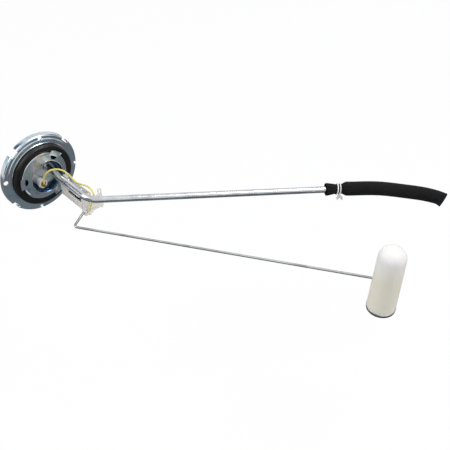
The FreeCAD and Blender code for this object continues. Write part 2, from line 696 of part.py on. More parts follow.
def resistor_winding():
    """Turns of resistance wire round the card, as flat frames."""
    centre = V(PIVOT_X, 0, PIVOT_Z)
    half = CARD_T / 2
    y0 = card_front()
    y1 = y0 + CARD_W - 1.5
    first = CARD_A0 + WINDING_MARGIN
    span = (CARD_A1 - CARD_A0 - 2 * WINDING_MARGIN) / WINDING_TURNS
    turns = []
    for step in range(WINDING_TURNS):
        a0 = first + step * span
        a1 = a0 + span * WINDING_DUTY
        outer = arc_band(centre, CARD_R - half - WINDING_T, CARD_R + half + WINDING_T, a0, a1, y0, y1)
        inner = arc_band(centre, CARD_R - half, CARD_R + half, a0 - 1, a1 + 1, y0 + WINDING_T, y1 + 1)
        turns.append(outer.cut(inner))
    return Part.makeCompound(turns)


def pivot_hub():
    """Moulded hub pressed on the wire inside the housing."""
    y0 = BOX_Y0 + BOX_WALL + HUB_GAP
    hub = pipe(V(PIVOT_X, y0, PIVOT_Z), Y_AXIS, HUB_R, WIRE_R, HUB_L)
    return hub


def wiper_spot(radius, lead=0.0):
    """Point at a radius from the pivot, at the contact's angle less a lead."""
    angle = math.radians(WIPER_ANGLE - lead)
    return V(PIVOT_X + radius * math.cos(angle), 0, PIVOT_Z + radius * math.sin(angle))


def wiper_leg(start, end, half_start, half_end, y0):
    """Flat tapering leg of the wiper, rounded at its far end."""
    along = (end - start).normalize()
    across = V(-along.z, 0, along.x)
    outline = [start + across * half_start, end + across * half_end, end - across * half_end,
               start - across * half_start]
    leg = loop_face(outline).fuse(Part.Face(Part.Wire(Part.makeCircle(half_end, end, Y_AXIS))))
    leg = leg.removeSplitter().extrude(V(0, WIPER_T, 0))
    leg.translate(V(0, y0, 0))
    return leg


def wiper_strip():
    """Spring strip cranked from the hub to the card, so that it clears the floor at full lift."""
    y0 = BOX_Y0 + BOX_WALL + HUB_GAP + HUB_L - WIPER_T - 0.2
    knee = wiper_spot(WIPER_KNEE_R, WIPER_CRANK)
    upper = wiper_leg(V(PIVOT_X, 0, PIVOT_Z), knee, WIPER_W / 2, WIPER_W / 2, y0)
    lower = wiper_leg(knee, wiper_spot(CARD_R), WIPER_W / 2, WIPER_TIP_W / 2, y0)
    collar = rod(V(PIVOT_X, y0, PIVOT_Z), Y_AXIS, HUB_R + WIPER_EYE, WIPER_T)
    keep = rod(V(PIVOT_X, y0 - 1, PIVOT_Z), Y_AXIS, HUB_R, WIPER_T + 2)
    return upper.fuse(lower).fuse(collar).cut(keep).removeSplitter()


def wiper_contact():
    """Rounded contact on the strip's end, just clear of the winding."""
    base = BOX_Y0 + BOX_WALL + HUB_GAP + HUB_L - 0.2
    tip = card_front() - CONTACT_GAP
    spot = wiper_spot(CARD_R) + V(0, base, 0)
    rise = tip - base
    profile = [(0, 0), (0, CONTACT_R), (rise * 0.5, CONTACT_R * 0.85), (rise, CONTACT_R * 0.3), (rise, 0)]
    return turned(profile, spot, Y_AXIS)


# Float arm and float

def float_arm():
    """One wire: pivot, exit leg, elbow and the long arm, ending inside the float."""
    inner = V(PIVOT_X, BOX_Y1 - 0.6, PIVOT_Z)
    turn_point = V(PIVOT_X, BOX_Y0 - ARM_EXIT, PIVOT_Z)
    tip = FLOAT_CENTRE - ARM_DIR * (FLOAT_R - ARM_INSERT)
    path = rounded_path([inner, turn_point, ELBOW, tip], [ARM_BEND_R * 1.6, ARM_BEND_R])
    return swept_round(path, inner, V(0, -1, 0), WIRE_R)


def float_outline(shrink):
    """Half outline of the float as (height along its axis, radius) with a domed top."""
    top_r = FLOAT_R - FLOAT_TAPER - shrink
    base_r = FLOAT_R - shrink
    dome_base = FLOAT_ABOVE - shrink - top_r * 0.92
    steps = 10
    dome = [(dome_base + top_r * 0.92 * math.sin(math.radians(90.0 * i / steps)),
             top_r * math.cos(math.radians(90.0 * i / steps))) for i in range(steps)]
    return [(-FLOAT_BELOW + shrink, 0), (-FLOAT_BELOW + shrink, base_r)] + dome + [(FLOAT_ABOVE - shrink, 0)]


def float_body():
    """Hollow moulded float with a domed top, a blind boss for the arm and a rebate for its cap."""
    body = turned(float_outline(0), FLOAT_CENTRE, FLOAT_UP)
    body = body.cut(turned(float_outline(FLOAT_WALL), FLOAT_CENTRE, FLOAT_UP))
    side = FLOAT_CENTRE - ARM_DIR * (FLOAT_R - 0.7)
    body = body.fuse(rod(side, ARM_DIR, FLOAT_HUB_R, ARM_INSERT + 2.5))
    bore = rod(FLOAT_CENTRE - ARM_DIR * (FLOAT_R + 2), ARM_DIR, WIRE_R + FLOAT_BORE_CLEAR, ARM_INSERT + 2.3)
    seat = FLOAT_R - CAP_SEAT
    rebate = [(-FLOAT_BELOW - 1, seat), (-FLOAT_BELOW + CAP_LIP, seat), (-FLOAT_BELOW + CAP_LIP, FLOAT_R + 2),
              (-FLOAT_BELOW - 1, FLOAT_R + 2)]
    return body.cut(bore).cut(turned(rebate, FLOAT_CENTRE, FLOAT_UP))


def float_cap():
    """Pressed metal cap over the float's lower end, with a rolled lip."""
    base = -FLOAT_BELOW
    inner = FLOAT_R - CAP_SEAT
    profile = [
        (base - CAP_T, 0), (base - CAP_T, FLOAT_R - 0.6), (base - CAP_T + 0.6, FLOAT_R),
        (base + CAP_LIP - CAP_ROLL, FLOAT_R), (base + CAP_LIP - CAP_ROLL, FLOAT_R + 0.35),
        (base + CAP_LIP, FLOAT_R + 0.35), (base + CAP_LIP, inner), (base, inner), (base, 0),
    ]
    return turned(profile, FLOAT_CENTRE, FLOAT_UP)


# Strainer sock

def along_tube(distance):
    """Point on the tube's second run, measured from its corner."""
    return TUBE_CORNER + TUBE_DIR * distance


def strainer_sock():
    """Cloth strainer: a gathered neck tied on the tube and a drooping body with a flat end."""
    hug = TUBE_R + SOCK_CLEAR + SOCK_CLOTH
    neck = [
        (SOCK_START, TUBE_R + SOCK_CLEAR), (SOCK_START, SOCK_RUFF_R), (SOCK_START + 5, SOCK_RUFF_R - 1.4),
        (SOCK_TIE_AT - 3.5, hug), (SOCK_TIE_AT + 3.5, hug), (SOCK_TIE_AT + 6.5, hug + 1.2),
        (SOCK_BODY_AT, SOCK_R), (SOCK_BODY_AT + SOCK_STRAIGHT, SOCK_R), (SOCK_BODY_AT + SOCK_STRAIGHT, 0),
        (TUBE_RUN + 2.5, 0), (TUBE_RUN + 2.5, TUBE_R + SOCK_CLEAR),
    ]
    bore_bead = [(SOCK_TIE_AT + 4.5, TUBE_R), (SOCK_TIE_AT + 4.5, TUBE_R + BEAD_RISE + SOCK_CLEAR),
                 (SOCK_TIE_AT + 9.5, TUBE_R + BEAD_RISE + SOCK_CLEAR), (SOCK_TIE_AT + 9.5, TUBE_R)]
    sock = turned(neck, TUBE_CORNER, TUBE_DIR).cut(turned(bore_bead, TUBE_CORNER, TUBE_DIR))
    start = along_tube(SOCK_BODY_AT + SOCK_STRAIGHT)
    level = TUBE_DIR.cross(Z_AXIS).normalize()
    down = level.cross(TUBE_DIR) * -1
    turn = math.radians(SOCK_CURVE_DEG)
    centre = start + down * SOCK_CURVE_R

    def on_curve(angle):
        return centre - down * (SOCK_CURVE_R * math.cos(angle)) + TUBE_DIR * (SOCK_CURVE_R * math.sin(angle))

    end = on_curve(turn)
    path = Part.Wire([Part.Arc(start, on_curve(turn / 2), end).toShape()])
    sock = sock.fuse(swept_round(path, start, TUBE_DIR, SOCK_R))
    heading = TUBE_DIR * math.cos(turn) + down * math.sin(turn)
    over = level.cross(heading)
    tip = end + heading * SOCK_END_L
    round_end = Part.Wire(Part.makeCircle(SOCK_R, end, heading))
    flat = Part.Ellipse(tip, SOCK_R + 1.2, SOCK_END_T / 2)
    flat.Axis = heading
    flat.XAxis = over
    sock = sock.fuse(Part.makeLoft([round_end, Part.Wire(flat.toShape())], True))
    return sock


def sock_tie():
    """Cord tied round the sock's neck: two turns and the knot."""
    hug = TUBE_R + SOCK_CLEAR + SOCK_CLOTH + SOCK_CLEAR * 0.3
    turns = []
    for step in range(TIE_TURNS):
        place = along_tube(SOCK_TIE_AT + (step - (TIE_TURNS - 1) / 2) * 2 * TIE_R)
        turns.append(Part.makeTorus(hug + TIE_R, TIE_R * 1.02, place, TUBE_DIR))
    level = TUBE_DIR.cross(Z_AXIS).normalize()
    low = (level * 0.6 - Z_AXIS * 0.8).normalize()
    knot = Part.makeSphere(TIE_R * 1.7, along_tube(SOCK_TIE_AT) + low * (hug + TIE_R * 1.9))
    return turns[0].fuse(turns[1]).fuse(knot)


PIECES = {
    "mounting_plate": mounting_plate,
    "lock_ring": lock_ring,
    "seal_ring": seal_ring,
    "pickup_tube": pickup_tube,
    "tube_braze": tube_braze,
    "terminal_insulator": terminal_insulator,
    "insulator_washer": insulator_washer,
    "terminal_stud": terminal_stud,
    "terminal_nut": terminal_nut,
    "lead_eye": lead_eye,
    "lead_wire": lead_wire,
    "lead_clip": lead_clip,
    "sender_bracket": sender_bracket,
    "housing_rivets": housing_rivets,
    "rheostat_housing": rheostat_housing,
    "housing_lid": housing_lid,
    "pivot_bush": pivot_bush,
    "resistor_card": resistor_card,
    "resistor_winding": resistor_winding,
    "pivot_hub": pivot_hub,
    "wiper_strip": wiper_strip,
    "wiper_contact": wiper_contact,
    "float_arm": float_arm,
    "float_body": float_body,
    "float_cap": float_cap,
    "strainer_sock": strainer_sock,
    "sock_tie": sock_tie,
}


def main():
    """Build every piece and write it under its own name."""
    os.makedirs("parts", exist_ok=True)
    for name, build in PIECES.items():
        shape = build()
        box = shape.BoundBox
        sides = (box.XMin, box.XMax, box.YMin, box.YMax, box.ZMin, box.ZMax)
        print(name, "solids", len(shape.Solids), "valid", shape.isValid(), "volume", round(shape.Volume, 1),
              "box", [round(side, 1) for side in sides])
        shape.exportStep(os.path.join("parts", name + ".step"))


main()
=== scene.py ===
"""Looks of the fuel sending unit: its plated head, tube, sock, resistor box, lead and float."""
from __future__ import annotations

import json
import logging
import math
from dataclasses import dataclass, field
from enum import Enum
from typing import Callable

import bpy
from mathutils import Matrix, Vector

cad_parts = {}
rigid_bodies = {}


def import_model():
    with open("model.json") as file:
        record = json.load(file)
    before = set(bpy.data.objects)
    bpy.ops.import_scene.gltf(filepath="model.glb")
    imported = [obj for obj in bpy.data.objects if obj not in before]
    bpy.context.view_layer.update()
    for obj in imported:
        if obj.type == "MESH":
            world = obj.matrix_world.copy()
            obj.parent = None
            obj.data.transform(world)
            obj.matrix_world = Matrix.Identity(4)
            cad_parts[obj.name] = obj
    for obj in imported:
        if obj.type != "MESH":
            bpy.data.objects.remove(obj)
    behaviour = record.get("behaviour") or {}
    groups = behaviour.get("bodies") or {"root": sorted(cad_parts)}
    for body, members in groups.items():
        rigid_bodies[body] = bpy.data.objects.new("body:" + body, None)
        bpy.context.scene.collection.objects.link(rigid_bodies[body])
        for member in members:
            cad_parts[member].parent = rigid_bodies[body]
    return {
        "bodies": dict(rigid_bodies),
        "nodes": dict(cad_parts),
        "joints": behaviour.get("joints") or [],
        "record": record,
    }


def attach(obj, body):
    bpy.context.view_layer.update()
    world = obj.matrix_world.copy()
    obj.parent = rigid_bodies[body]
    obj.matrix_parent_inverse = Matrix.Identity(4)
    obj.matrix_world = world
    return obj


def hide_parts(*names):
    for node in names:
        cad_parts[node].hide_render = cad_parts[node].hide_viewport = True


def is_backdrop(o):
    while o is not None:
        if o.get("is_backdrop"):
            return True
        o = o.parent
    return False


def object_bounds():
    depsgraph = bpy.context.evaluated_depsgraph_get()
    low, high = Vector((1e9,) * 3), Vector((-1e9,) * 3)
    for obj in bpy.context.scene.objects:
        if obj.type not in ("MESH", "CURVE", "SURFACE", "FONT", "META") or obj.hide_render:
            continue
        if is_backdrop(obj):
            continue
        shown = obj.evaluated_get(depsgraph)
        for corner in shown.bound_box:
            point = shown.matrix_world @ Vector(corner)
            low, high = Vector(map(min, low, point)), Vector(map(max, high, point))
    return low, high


LOG = logging.getLogger("sending_unit")
MM = 0.001
X_AXIS = Vector((1.0, 0.0, 0.0))
Y_AXIS = Vector((0.0, 1.0, 0.0))
Z_AXIS = Vector((0.0, 0.0, 1.0))

Colour = tuple[float, float, float]
Spot = tuple[float, float, float]
Outline = list[tuple[float, float]]


class Body(Enum):
    """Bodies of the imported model."""

    HEAD = "head"
    RING = "ring"
    ARM = "arm"
    FLOAT = "float"


class Side(Enum):
    """Which way a wall grows from the surface it is made on."""

    INWARD = -1.0


# Modelling helpers


def deselect() -> None:
    """Leave object mode with nothing selected."""
    if bpy.context.object and bpy.context.object.mode != "OBJECT":
        bpy.ops.object.mode_set(mode="OBJECT")
    bpy.ops.object.select_all(action="DESELECT")


def pick(piece: bpy.types.Object) -> None:
    """Select one piece and make it active."""
    deselect()
    piece.select_set(True)
    bpy.context.view_layer.objects.active = piece


def named(name: str) -> bpy.types.Object:
    """Give the active object its name."""
    piece = bpy.context.object
    piece.name = name
    piece.data.name = name
    return piece


def settle(piece: bpy.types.Object) -> None:
    """Put a piece's place into its mesh."""
    pick(piece)
    bpy.ops.object.transform_apply(location=True, rotation=True, scale=True)


def square_to(axis: Vector) -> Matrix:
    """Frame with its Z along an axis and its X as near to upright as that allows."""
    up = Z_AXIS if abs(axis.z) < 0.9 else Y_AXIS
    first = (up - axis * up.dot(axis)).normalized()
    second = axis.cross(first)
    return Matrix((first, second, axis)).transposed().to_4x4()


def polar(yaw: float, pitch: float) -> Vector:
    """Unit vector at a yaw about Z and a pitch above the horizontal, in degrees."""
    level = math.cos(math.radians(pitch))
    return Vector((level * math.cos(math.radians(yaw)), level * math.sin(math.radians(yaw)),
                   math.sin(math.radians(pitch))))


def arc_points(centre: tuple[float, float], radius: float, start: float, end: float, steps: int) -> Outline:
    """Points of an arc in an outline's plane.

    Args:
        centre: distance along the axis and radius of the arc's centre.
        radius: the arc's own radius.
        start: first angle in degrees, where 0 points along the axis and 90 outwards.
        end: last angle in degrees.
        steps: number of spans.

    Returns:
        The points from start to end.
    """
    angles = [math.radians(start + (end - start) * i / steps) for i in range(steps + 1)]
    return [(centre[0] + radius * math.cos(a), centre[1] + radius * math.sin(a)) for a in angles]


def ring_of(name: str, places: list[Vector], closed: bool = True) -> bpy.types.Object:
    """Circle primitive with its points moved to places, opened between the last and the first if asked."""
    deselect()
    bpy.ops.mesh.primitive_circle_add(vertices=len(places), radius=0.01)
    piece = named(name)
    for vertex, place in zip(piece.data.vertices, places):
        vertex.co = place
    if not closed:
        ends = {0, len(places) - 1}
        select_edges(piece, lambda edge: set(edge.vertices) == ends)
        bpy.ops.mesh.delete(type="EDGE")
        bpy.ops.object.mode_set(mode="OBJECT")
    return piece


def select_edges(piece: bpy.types.Object, test: Callable[[bpy.types.MeshEdge], bool]) -> None:
    """Enter edit mode with only the edges that pass a test selected."""
    pick(piece)
    bpy.context.tool_settings.mesh_select_mode = (False, True, False)
    bpy.ops.object.mode_set(mode="EDIT")
    bpy.ops.mesh.select_all(action="DESELECT")
    bpy.ops.object.mode_set(mode="OBJECT")
    for edge in piece.data.edges:
        edge.select = test(edge)
    bpy.ops.object.mode_set(mode="EDIT")


def turned(name: str, outline: Outline, centre: Vector, axis: Vector, steps: int, sweep: float = 360.0,
           closed: bool = True) -> bpy.types.Object:
    """Spin an outline round an axis.

    Args:
        name: the piece's name.
        outline: points as (distance along the axis, radius).
        centre: where the axis starts.
        axis: the axis's direction.
        steps: number of steps round.
        sweep: how far round in degrees, half of it to each side of the upright.
        closed: whether the outline's last point joins its first.

    Returns:
        The turned piece, with its place in its mesh.
    """
    frame = square_to(axis)
    frame.translation = centre
    back = Matrix.Rotation(math.radians(-sweep / 2), 4, "Z")
    piece = ring_of(name, [frame @ back @ Vector((radius, 0.0, along)) for along, radius in outline], closed)
    bpy.ops.object.mode_set(mode="EDIT")
    bpy.ops.mesh.select_all(action="SELECT")
    bpy.ops.mesh.spin(steps=steps, angle=math.radians(sweep), center=centre, axis=-axis)
    bpy.ops.mesh.select_all(action="SELECT")
    bpy.ops.mesh.remove_doubles(threshold=1e-6)
    bpy.ops.mesh.delete_loose(use_verts=True, use_edges=True, use_faces=False)
    bpy.ops.mesh.select_all(action="SELECT")
    bpy.ops.mesh.normals_make_consistent(inside=False)
    bpy.ops.object.mode_set(mode="OBJECT")
    return capped(piece) if sweep < 360.0 else piece


def slab(name: str, outline: Outline, low: float, high: float) -> bpy.types.Object:
    """Straight length of one outline, given as (y, z), between two places along X."""
    piece = ring_of(name, [Vector((low, y, z)) for y, z in outline])
    bpy.ops.object.mode_set(mode="EDIT")
    bpy.ops.mesh.select_all(action="SELECT")
    bpy.ops.mesh.edge_face_add()
    run_on(X_AXIS * (high - low))
    bpy.ops.mesh.select_all(action="SELECT")
    bpy.ops.mesh.normals_make_consistent(inside=False)
    bpy.ops.object.mode_set(mode="OBJECT")
    return piece


def bar(name: str, points: list[Vector], radii: list[float], radius: float,
        sides: int = 40) -> bpy.types.Object:
    """Round bar along straight runs joined by bends.

    Args:
        name: the piece's name.
        points: start, corners and end of the centre line.
        radii: bend radius at each corner.
        radius: the bar's radius.
        sides: number of sides round.

    Returns:
        The open-ended bar, its ends not capped.
    """
    deselect()
    heading = (points[1] - points[0]).normalized()
    frame = square_to(heading)
    frame.translation = points[0]
    bpy.ops.mesh.primitive_circle_add(vertices=sides, radius=radius)
    piece = named(name)
    piece.data.transform(frame)
    bpy.ops.object.mode_set(mode="EDIT")
    bpy.ops.mesh.select_all(action="SELECT")
    here = points[0]
    for corner, after, bend in zip(points[1:], points[2:], radii):
        outward = (after - corner).normalized()
        turn = heading.angle(outward)
        reach = bend * math.tan(turn / 2)
        start = corner - heading * reach
        run_on(start - here)
        hub = start + (outward - heading * heading.dot(outward)).normalized() * bend
        axis = heading.cross(outward).normalized()
        spin_on(hub, axis, turn)
        here = corner + outward * reach
        heading = outward
    run_on(points[-1] - here)
    bpy.ops.mesh.select_all(action="SELECT")
    bpy.ops.mesh.remove_doubles(threshold=1e-7)
    bpy.ops.mesh.normals_make_consistent(inside=False)
    bpy.ops.object.mode_set(mode="OBJECT")
    return piece


def run_on(step: Vector) -> None:
    """Extrude the selected ring along a straight run."""
    bpy.ops.mesh.extrude_region_move(TRANSFORM_OT_translate={"value": step})


def spin_on(hub: Vector, axis: Vector, turn: float) -> None:
    """Spin the selected ring round a bend, as a right-hand screw about the axis."""
    bpy.ops.mesh.spin(steps=max(6, int(math.degrees(turn) / 4)), angle=turn, center=hub, axis=-axis)


def capped(piece: bpy.types.Object) -> bpy.types.Object:
    """Close the open ends of a bar."""
    pick(piece)
    bpy.ops.object.mode_set(mode="EDIT")
    bpy.ops.mesh.select_all(action="DESELECT")
    bpy.ops.mesh.select_non_manifold(extend=False, use_wire=False, use_multi_face=False)
    bpy.ops.mesh.edge_face_add()
    bpy.ops.mesh.select_all(action="SELECT")
    bpy.ops.mesh.normals_make_consistent(inside=False)
    bpy.ops.object.mode_set(mode="OBJECT")
    return piece


def block(name: str, low: Vector, high: Vector, turn: Matrix | None = None) -> bpy.types.Object:
    """Cube primitive between two corners, turned about the origin if asked."""
    deselect()
    bpy.ops.mesh.primitive_cube_add(size=1.0, location=(low + high) / 2)
    piece = named(name)
    piece.scale = high - low
    settle(piece)
    if turn is not None:
        piece.data.transform(turn)
    return piece


def block_mm(name: str, low: Spot, high: Spot) -> bpy.types.Object:
    """Block between two corners given in millimetres."""
    return block(name, Vector(low) * MM, Vector(high) * MM)


def drum(name: str, start: Vector, axis: Vector, radius: float, length: float,
         sides: int = 48) -> bpy.types.Object:
    """Cylinder primitive from a point along an axis."""
    deselect()
    bpy.ops.mesh.primitive_cylinder_add(vertices=sides, radius=radius, depth=length)
    piece = named(name)
    frame = square_to(axis)
    frame.translation = start + axis * (length / 2)
    piece.data.transform(frame)
    return piece


def use_modifier(piece: bpy.types.Object, kind: str, **settings: object) -> None:
    """Add one modifier, set it and apply it."""
    pick(piece)
    modifier = piece.modifiers.new(kind.title(), kind)
    for key, value in settings.items():
        setattr(modifier, key, value)
    bpy.ops.object.modifier_apply(modifier=modifier.name)


def carve(piece: bpy.types.Object, cutter: bpy.types.Object, how: str = "DIFFERENCE") -> None:
    """Cut one piece out of another, or unite them, and drop the cutter."""
    use_modifier(piece, "BOOLEAN", operation=how, object=cutter, solver="EXACT")
    bpy.data.objects.remove(cutter)


def united(parts: list[bpy.types.Object]) -> bpy.types.Object:
    """Fuse parts that share faces into the first of them."""
    for part in parts[1:]:
        carve(parts[0], part, "UNION")
    return parts[0]


def sliced(piece: bpy.types.Object, place: Vector, normal: Vector) -> bpy.types.Object:
    """Cut off what lies on a plane's outer side, and close the cut."""
    pick(piece)
    bpy.ops.object.mode_set(mode="EDIT")
    bpy.ops.mesh.select_all(action="SELECT")
    bpy.ops.mesh.bisect(plane_co=place, plane_no=normal, use_fill=True, clear_outer=True)
    bpy.ops.object.mode_set(mode="OBJECT")
    return piece


def joined(name: str, parts: list[bpy.types.Object]) -> bpy.types.Object:
    """Join parts into one piece."""
    pick(parts[0])
    for part in parts:
        part.select_set(True)
    bpy.ops.object.join()
    return named(name)


def eased(piece: bpy.types.Object, width: float, segments: int = 2, angle: float = 40.0) -> None:
    """Round the sharp edges of a piece and smooth the rest."""
    use_modifier(piece, "BEVEL", width=width, segments=segments, limit_method="ANGLE",
                 angle_limit=math.radians(angle), harden_normals=False)
    smoothed(piece, angle)


def smoothed(piece: bpy.types.Object, angle: float = 40.0) -> None:
    """Shade a piece smooth across its shallow edges."""
    pick(piece)
    bpy.ops.object.shade_smooth_by_angle(angle=math.radians(angle))


def copy_of_node(node: str, name: str) -> bpy.types.Object:
    """Merged copy of a CAD node's mesh, as a new piece.

    Args:
        node: the CAD node.
        name: the new piece's name.

    Returns:
        The copy, its doubles merged, with no material.
    """
    source = bpy.data.objects[node] if node in bpy.data.objects else FRAME_NODES[node]
    mesh = source.data.copy()
    mesh.materials.clear()
    piece = bpy.data.objects.new(name, mesh)
    bpy.context.scene.collection.objects.link(piece)
    pick(piece)
    bpy.ops.object.mode_set(mode="EDIT")
    bpy.ops.mesh.select_all(action="SELECT")
    bpy.ops.mesh.remove_doubles(threshold=2e-6)
    bpy.ops.mesh.customdata_custom_splitnormals_clear()
    bpy.ops.object.mode_set(mode="OBJECT")
    return piece


FRAME_NODES: dict[str, bpy.types.Object] = {}


# Finishes


class Sheet:
    """Node tree of one material, with short calls for the nodes that the finishes share."""

    def __init__(self, name: str) -> None:
        """Start a material with a bare shader."""
        self.material = bpy.data.materials.new(name)
        self.material.use_nodes = True
        self.tree = self.material.node_tree
        self.shader = self.tree.nodes["Principled BSDF"]
        self.coordinates = self.tree.nodes.new("ShaderNodeTexCoord")

    def link(self, source: bpy.types.NodeSocket, target: bpy.types.NodeSocket) -> None:
        """Join two sockets."""
        self.tree.links.new(source, target)

    def mapped(self, scale: Colour, socket: str = "Object") -> bpy.types.NodeSocket:
        """Coordinates stretched by a scale along each axis."""
        mapping = self.tree.nodes.new("ShaderNodeMapping")
        mapping.inputs["Scale"].default_value = scale
        self.link(self.coordinates.outputs[socket], mapping.inputs["Vector"])
        return mapping.outputs["Vector"]

    def noise(self, scale: float, detail: float = 3.0, vector: bpy.types.NodeSocket | None = None,
              distortion: float = 0.0) -> bpy.types.NodeSocket:
        """Noise in the piece's own coordinates."""
        node = self.tree.nodes.new("ShaderNodeTexNoise")
        node.inputs["Scale"].default_value = scale
        node.inputs["Detail"].default_value = detail
        node.inputs["Distortion"].default_value = distortion
        self.link(vector or self.coordinates.outputs["Object"], node.inputs["Vector"])
        return node.outputs["Fac"]

    def wave(self, scale: float, vector: bpy.types.NodeSocket, direction: str = "X") -> bpy.types.NodeSocket:
        """Even bands along one axis."""
        node = self.tree.nodes.new("ShaderNodeTexWave")
        node.bands_direction = direction
        node.inputs["Scale"].default_value = scale
        self.link(vector, node.inputs["Vector"])
        return node.outputs["Fac"]

    def ramp(self, source: bpy.types.NodeSocket, stops: list[tuple[float, Colour]]) -> bpy.types.NodeSocket:
        """Colours along a value."""
        node = self.tree.nodes.new("ShaderNodeValToRGB")
        elements = node.color_ramp.elements
        while len(elements) < len(stops):
            elements.new(0.5)
        for element, (place, colour) in zip(elements, stops):
            element.position = place
            element.color = (*colour, 1.0)
        self.link(source, node.inputs["Fac"])
        return node.outputs["Color"]

    def height(self) -> bpy.types.NodeSocket:
        """Height of a spot in the piece's own coordinates."""
        node = self.tree.nodes.new("ShaderNodeSeparateXYZ")
        self.link(self.coordinates.outputs["Object"], node.inputs["Vector"])
        return node.outputs["Z"]

    def spread(self, source: bpy.types.NodeSocket, low: float, high: float) -> bpy.types.NodeSocket:
        """Spread a value from low..high to 0..1."""
        node = self.tree.nodes.new("ShaderNodeMapRange")
        node.inputs["From Min"].default_value = low
        node.inputs["From Max"].default_value = high
        self.link(source, node.inputs["Value"])
        return node.outputs["Result"]

    def between(self, source: bpy.types.NodeSocket, low: float, high: float) -> bpy.types.NodeSocket:
        """Spread a value from 0..1 to low..high."""
        node = self.tree.nodes.new("ShaderNodeMapRange")
        node.inputs["From Min"].default_value = 0.25
        node.inputs["From Max"].default_value = 0.75
        node.inputs["To Min"].default_value = low
        node.inputs["To Max"].default_value = high
        self.link(source, node.inputs["Value"])
        return node.outputs["Result"]

    def times(self, first: bpy.types.NodeSocket, second: bpy.types.NodeSocket) -> bpy.types.NodeSocket:
        """Product of two values."""
        node = self.tree.nodes.new("ShaderNodeMath")
        node.operation = "MULTIPLY"
        self.link(first, node.inputs[0])
        self.link(second, node.inputs[1])
        return node.outputs["Value"]

    def bump(self, height: bpy.types.NodeSocket, distance: float, strength: float,
             under: bpy.types.NodeSocket | None = None) -> bpy.types.NodeSocket:
        """Normal from a height in metres."""
        node = self.tree.nodes.new("ShaderNodeBump")
        node.inputs["Distance"].default_value = distance
        node.inputs["Strength"].default_value = strength
        self.link(height, node.inputs["Height"])
        if under is not None:
            self.link(under, node.inputs["Normal"])
        return node.outputs["Normal"]

    def set(self, **values: object) -> None:
        """Set constants on the shader's own sockets, named with underscores for spaces."""
        for key, value in values.items():
            self.shader.inputs[key.replace("_", " ")].default_value = value

    def feed(self, socket: str, source: bpy.types.NodeSocket) -> None:
        """Drive one of the shader's sockets."""
        self.link(source, self.shader.inputs[socket])


@dataclass(frozen=True)
class ZincFinish:
    """Clear zinc plating: bluish silver with faint pink and green bloom."""

    name: str
    light: Colour = (0.60, 0.69, 0.74)
    dark: Colour = (0.40, 0.50, 0.57)
    pink: Colour = (0.66, 0.60, 0.64)
    green: Colour = (0.56, 0.66, 0.60)
    roughness: tuple[float, float] = (0.14, 0.26)
    cloud: float = 55.0

    def material(self) -> bpy.types.Material:
        """Build the material."""
        sheet = Sheet(self.name)
        clouds = sheet.noise(self.cloud, 4.0, distortion=0.6)
        sheet.feed("Base Color", sheet.ramp(clouds, [(0.32, self.dark), (0.44, self.light), (0.52, self.pink),
                                                     (0.58, self.light), (0.66, self.green),
                                                      (0.76, self.light)]))
        sheet.feed("Roughness", sheet.between(clouds, *self.roughness))
        sheet.feed("Normal", sheet.bump(sheet.noise(160.0, 2.0), 0.0002, 0.12))
        sheet.set(Metallic=1.0)
        return sheet.material


@dataclass(frozen=True)
class DrawnSteel:
    """Bright drawn steel or tinned tube with fine marks along its length."""

    name: str
    light: Colour
    dark: Colour
    along: Colour
    roughness: tuple[float, float] = (0.18, 0.30)

    def material(self) -> bpy.types.Material:
        """Build the material."""
        sheet = Sheet(self.name)
        streaks = sheet.noise(700.0, 3.0, sheet.mapped(self.along))
        patches = sheet.noise(60.0, 3.0)
        sheet.feed("Base Color", sheet.ramp(patches, [(0.35, self.dark), (0.6, self.light)]))
        sheet.feed("Roughness", sheet.between(streaks, *self.roughness))
        sheet.feed("Normal", sheet.bump(streaks, 0.00002, 0.1))
        sheet.set(Metallic=1.0)
        return sheet.material


@dataclass(frozen=True)
class RubberFinish:
    """Smooth moulded rubber with a faint brown bloom."""

    name: str
    base: Colour = (0.004, 0.004, 0.005)
    bloom: Colour = (0.012, 0.007, 0.005)

    def material(self) -> bpy.types.Material:
        """Build the material."""
        sheet = Sheet(self.name)
        patches = sheet.noise(120.0, 4.0)
        sheet.feed("Base Color", sheet.ramp(patches, [(0.42, self.base), (0.68, self.bloom)]))
        sheet.feed("Roughness", sheet.between(patches, 0.26, 0.42))
        sheet.feed("Normal", sheet.bump(sheet.noise(1400.0, 2.0), 0.00005, 0.2))
        sheet.set(Specular_IOR_Level=0.35)
        return sheet.material


@dataclass(frozen=True)
class MouldedPlastic:
    """Natural moulding that lets some light through."""

    name: str
    base: Colour
    shade: Colour
    roughness: tuple[float, float] = (0.32, 0.45)
    scatter: float = 0.35
    depth: float = 0.004
    # fade gives two heights between which the colour runs from shade below to base above: painted shade,
    # darker and warmer low down and lighter on top, as light from above falls.
    fade: tuple[float, float] | None = None

    def material(self) -> bpy.types.Material:
        """Build the material."""
        sheet = Sheet(self.name)
        patches = sheet.noise(45.0, 3.0)
        if self.fade:
            # Painted shade: the colour runs with height from shade low down to base on top.
            height = sheet.spread(sheet.height(), *self.fade)
            sheet.feed("Base Color", sheet.ramp(height, [(0.0, self.shade), (1.0, self.base)]))
        else:
            sheet.feed("Base Color", sheet.ramp(patches, [(0.36, self.shade), (0.6, self.base)]))
        sheet.feed("Roughness", sheet.between(patches, *self.roughness))
        sheet.feed("Normal", sheet.bump(sheet.noise(650.0, 3.0), 0.00006, 0.2))
        sheet.set(Subsurface_Weight=self.scatter, Subsurface_Scale=self.depth,
                  Subsurface_Radius=(1.0, 0.85, 0.6))
        return sheet.material


